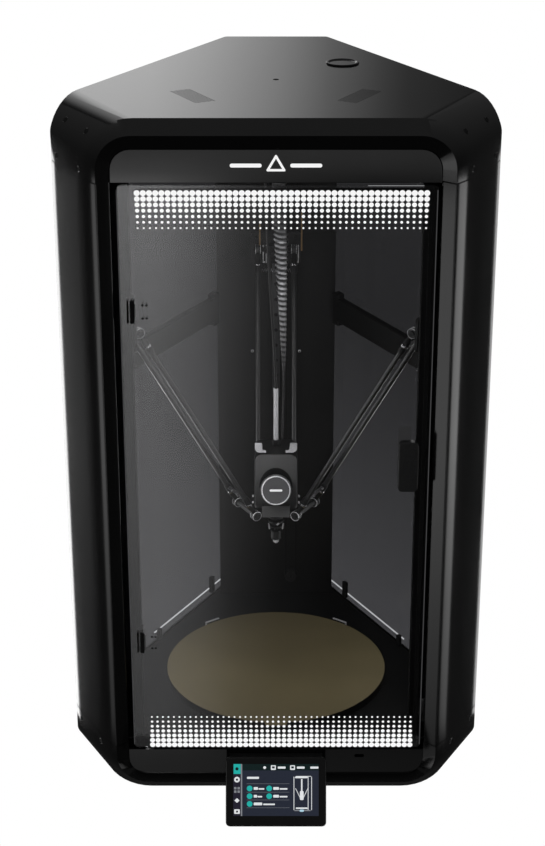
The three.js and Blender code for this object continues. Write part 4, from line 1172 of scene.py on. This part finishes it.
def side_matrix(side):
    """A frame on a long cabinet side: X runs back along it, Z is up, Y points outwards.

    Its origin is the foot of the perpendicular from the plate's axis.
    """
    normal = Vector((side * math.sin(PLAN_ANGLE), math.cos(PLAN_ANGLE), 0))
    back = Vector((-side * math.cos(PLAN_ANGLE), math.sin(PLAN_ANGLE), 0))
    matrix = Matrix((back, normal, Vector((0, 0, 1)))).transposed().to_4x4()
    matrix.translation = normal * SIDE_DISTANCE
    return matrix


def build_panel_fittings(side, name, start, end, foot, clip):
    """The lower edge of a side panel from start to end, bright with a painted highlight glow, and the clips that
    hold it.
    """
    shape = Shape()
    place = side_matrix(side)
    inner = -4 * MM
    # painted highlight along the panel's lower edge
    shape.box((start, inner - 1.6 * MM, foot), (end, inner - 0.2 * MM, foot + 1.5 * MM),
              PANEL_EDGE_GLOW, place)
    shape.box((clip - 5 * MM, inner - 7 * MM, foot - 6 * MM),
              (clip + 5 * MM, inner - 0.3 * MM, foot + 20 * MM), RUBBER, place, round_by=2 * MM)
    small = start + 10 * MM
    shape.box((small - 4 * MM, inner - 7 * MM, foot - 14 * MM),
              (small + 4 * MM, inner - 0.3 * MM, foot + 3 * MM), RUBBER, place, round_by=2 * MM)
    return shape.piece(f"panel_fittings_{name}", "cabinet")


def build_bed_fittings():
    """The two bright stops behind the build plate."""
    shape = Shape()
    radius = PLATE_HIGH.x
    for turn in (-37, 37):
        angle = math.radians(90 + turn)
        direction = Vector((math.cos(angle), math.sin(angle), 0))
        across = Vector((-direction.y, direction.x, 0))
        matrix = Matrix((across, direction, Vector((0, 0, 1)))).transposed().to_4x4()
        matrix.translation = direction * radius
        shape.box((-13 * MM, 0.4 * MM, PLATE_HIGH.z - 3 * MM),
                  (13 * MM, 4.2 * MM, PLATE_HIGH.z + 2.4 * MM), PALE_METAL, matrix, round_by=1.5 * MM)
    return shape.piece("bed_stops", "cabinet")


# ------------------------------------------------------------------ studio

def build_floor():
    """A pale floor that bright daylight falls on; mirrors see past it to the studio's own fade."""
    data = bpy.data.meshes.new("floor")
    reach = 30
    corners = [(-reach, -reach, FEET_Z), (reach, -reach, FEET_Z), (reach, reach, FEET_Z),
               (-reach, reach, FEET_Z)]
    data.from_pydata(corners, [], [(0, 1, 2, 3)])
    floor = bpy.data.objects.new("floor", data)
    bpy.context.scene.collection.objects.link(floor)
    graph = Graph("pale_floor")
    pale = graph.node("Emission", {"Color": (1, 1, 1, 1), "Strength": 1.0})
    clear = graph.node("BsdfTransparent")
    data.materials.append(graph.finish(graph.mix(graph.seen_by_camera(), clear, pale)))


# Light the room gives to reflections, by the height of the direction: -1 down, 1 straight up.
ROOM = [(-1.0, 0.02), (-0.35, 0.03), (0.0, 0.05), (0.45, 0.11), (0.9, 0.17), (1.0, 0.20)]


def build_world():
    """White to the camera, a dim fade to everything else."""
    graph = Graph("studio", bpy.data.worlds.new("studio"))
    coordinate = graph.node("TexCoord")
    upward = graph.node("SeparateXYZ", {"Vector": coordinate.outputs["Generated"]}).outputs[2]
    fade = [((height + 1) / 2, level) for height, level in ROOM]
    lit = graph.node("Background", {"Color": graph.ramp(graph.between(upward, 0.0, 1.0, -1.0, 1.0), fade)})
    white = graph.node("Background", {"Color": (1, 1, 1, 1)})
    bpy.context.scene.world = graph.finish(graph.mix(graph.seen_by_camera(), lit, white))


def card(name, middle, normal, width, height, across, upward=((0.0, 1.0), (1.0, 1.0)), gain=1.0):
    """A glowing board that only reflections see.

    across and upward are (share, level) stops, from the -X end to the +X end and from foot to head.
    """
    data = bpy.data.meshes.new(name)
    half = Vector((width / 2, height / 2, 0))
    corners = [(-half.x, -half.y, 0), (half.x, -half.y, 0), (half.x, half.y, 0), (-half.x, half.y, 0)]
    data.from_pydata(corners, [], [(0, 1, 2, 3)])
    board = bpy.data.objects.new(name, data)
    board.matrix_world = Matrix.Translation(middle) @ (
        Vector(normal).to_track_quat("Z", "Y").to_matrix().to_4x4())
    bpy.context.scene.collection.objects.link(board)
    graph = Graph(name)
    left = -half.x if board.matrix_world.col[0].x > 0 else half.x
    share_across = graph.between(graph.axis(0), 0.0, 1.0, left, -left)
    share_up = graph.between(graph.axis(1), 0.0, 1.0, -half.y, half.y)
    level = graph.times(graph.ramp(share_across, across), graph.ramp(share_up, upward))
    data.materials.append(graph.finish(graph.node("Emission", {"Strength": graph.times(level, gain)})))
    board.visible_camera = False
    board.visible_diffuse = False
    board.visible_shadow = False
    board.visible_transmission = False
    return board


def side_card(name, side, start, end, low, high, upward, gain):
    """An upright board beside the printer, seen in directions from start to end degrees.

    The degrees run from +X towards +Y, as seen from the front corner on that side.
    """
    corner = Vector((side * 0.26, -0.17, 0))
    reach = 2.2
    middle = math.radians((start + end) / 2)
    toward = Vector((math.cos(middle), math.sin(middle), 0))
    width = 2 * reach * math.tan(math.radians(abs(end - start)) / 2)
    place = corner + toward * reach + Vector((0, 0, (low + high) / 2))
    edge = ((0.0, 0.0), (0.06, 1.0), (0.94, 1.0), (1.0, 0.0))
    return card(name, place, -toward, width, high - low, edge, upward, gain)


def softbox(name, place, target, width, height, power, glossy=True):
    light = bpy.data.lights.new(name, "AREA")
    light.shape = "RECTANGLE"
    light.size, light.size_y = width, height
    light.energy = power
    holder = bpy.data.objects.new(name, light)
    holder.matrix_world = Matrix.Translation(place) @ (
        (Vector(place) - Vector(target)).to_track_quat("Z", "Y").to_matrix().to_4x4())
    holder.visible_camera = False
    holder.visible_glossy = glossy
    bpy.context.scene.collection.objects.link(holder)
    return holder


def build_cards():
    """Boards whose mirror images give the shell and the door their sheen."""
    card("behind", (-0.65, 2.4, 2.1), (0, -1, 0), 2.5, 2.2,
         ((0.0, 0.0), (0.1, 0.08), (0.38, 0.6), (0.48, 1.0), (0.584, 0.98), (0.631, 0.93),
          (0.683, 0.75), (0.735, 0.54), (0.766, 0.43), (0.818, 0.22), (0.87, 0.10),
          (0.896, 0.06), (1.0, 0.02)), gain=1.4)
    card("below_front", (0, -3.2, -0.875), (0, 1, 0), 1.5, 1.85,
         ((0.0, 1.0), (0.26, 1.0), (0.35, 0.62), (0.40, 0.32), (0.44, 0.20), (0.5, 0.09),
          (0.62, 0.03), (1.0, 0.01)),
         ((0.0, 0.3), (0.35, 0.42), (0.7, 0.64), (1.0, 1.0)), gain=2.2)
    card("lowest_front", (0, -3.2, -2.1), (0, 1, 0), 1.5, 0.6,
         ((0.0, 1.0), (0.35, 1.0), (0.6, 0.6), (1.0, 0.4)), gain=0.30)
    card("front", (0, -3.2, 0.2875), (0, 1, 0), 2.0, 0.475,
         ((0.0, 1.0), (0.33, 1.0), (0.5, 0.88), (0.67, 0.84), (1.0, 0.8)),
         ((0.0, 1.0), (0.35, 1.0), (1.0, 0.0)), gain=0.66)
    flat = ((0.0, 1.0), (1.0, 1.0))
    for side, gain in ((-1, 4.5), (1, 3.0)):
        card("arm_light", (side * 0.2, 0.0, 0.5), (-side, 0, 0), 0.05, 0.6, flat, gain=gain)
    even = ((0.0, 0.3), (0.25, 0.55), (0.55, 1.0), (1.0, 1.0))
    side_card("right_front", 1, 17, 29, -1.3, 0.3, even, 1.5)
    side_card("right_back", 1, 47, 62, -1.3, 0.6, flat, 1.7)
    side_card("left_back", -1, 134, 117, -1.3, 0.6, flat, 4.2)
    side_card("right_line", 1, -60, -46, -1.3, 0.3, even, 2.4)
    side_card("left_line", -1, 240, 226, -1.3, 0.3, even, 1.8)
    side_card("left_side", -1, 146, 135, -1.3, 0.3, even, 0.19)
    side_card("left_front", 1, 190, 212, -1.3, 0.3, even, 1.2)
    side_card("right_side", 1, -18, -6, -1.3, 0.3, even, 0.8)
    side_card("left_rear", -1, 176, 160, -1.3, 0.3, even, 0.8)
    side_card("rear", 1, 98, 114, -1.3, 0.3, even, 0.8)


def build_lights():
    softbox("cabinet_lamp", (-0.03, -0.12, 0.885), (0, -0.03, 0.3), 0.30, 0.03, 1.2, glossy=False)
    softbox("head_key", (-0.05, -0.185, 0.52), (0, -0.06, 0.42), 0.08, 0.08, 0.30, glossy=False)
    softbox("bed_front", (0.0, -0.17, 0.40), (0, -0.13, 0.09), 0.25, 0.05, 0.22, glossy=False)
    for side, power in ((-1, 0.2), (1, 0.12)):
        softbox("bed_wash", (side * 0.19, 0.0, 0.25), (side * 0.12, -0.02, 0.09), 0.12, 0.12, power,
                glossy=False)
    softbox("room_fill", (-0.6, -2.8, 2.2), (0, 0, 0.5), 1.6, 1.2, 8, glossy=False)


CAMERA_PLACE = (0, -2.54728, 1.56801)
CAMERA_PITCH = 22.95  # degrees it looks down
LENS = 81.84  # focal length in mm, on a sensor 36 mm wide
LENS_SHIFT = -0.0041  # sideways, as a share of the sensor


def build_camera():
    """Long lens a little above the printer, looking down at its door."""
    camera = bpy.data.cameras.new("camera")
    camera.sensor_width = 36
    camera.lens = LENS
    camera.shift_x = LENS_SHIFT
    camera.clip_end = 100
    holder = bpy.data.objects.new("camera", camera)
    holder.location = CAMERA_PLACE
    holder.rotation_euler = (math.radians(90 - CAMERA_PITCH), 0, 0)
    bpy.context.scene.collection.objects.link(holder)
    bpy.context.scene.camera = holder
    bpy.context.scene.view_settings.view_transform = "Standard"


# ------------------------------------------------------------------ assembly

finish_cad_nodes()
build_door_dots()
build_door_trim()
build_door_edges()
build_header_mark()
build_top_vents()
build_shell_screws()
build_rear_grille()
build_hose()
build_tube()
for tower_name in TOWER_TURNS:
    build_arms(tower_name)
    build_tower_details(tower_name)
    build_carriage_bolts(tower_name)
build_rear_column_marks()
build_rear_carriage_guides()
build_head_details()
build_display()
build_panel_fittings(1, "right", -33 * MM, 194 * MM, 94.5 * MM, 142 * MM)
build_panel_fittings(-1, "left", -14 * MM, 190 * MM, 96.7 * MM, 158 * MM)
build_bed_fittings()
build_floor()
build_world()
build_cards()
build_lights()
build_camera()
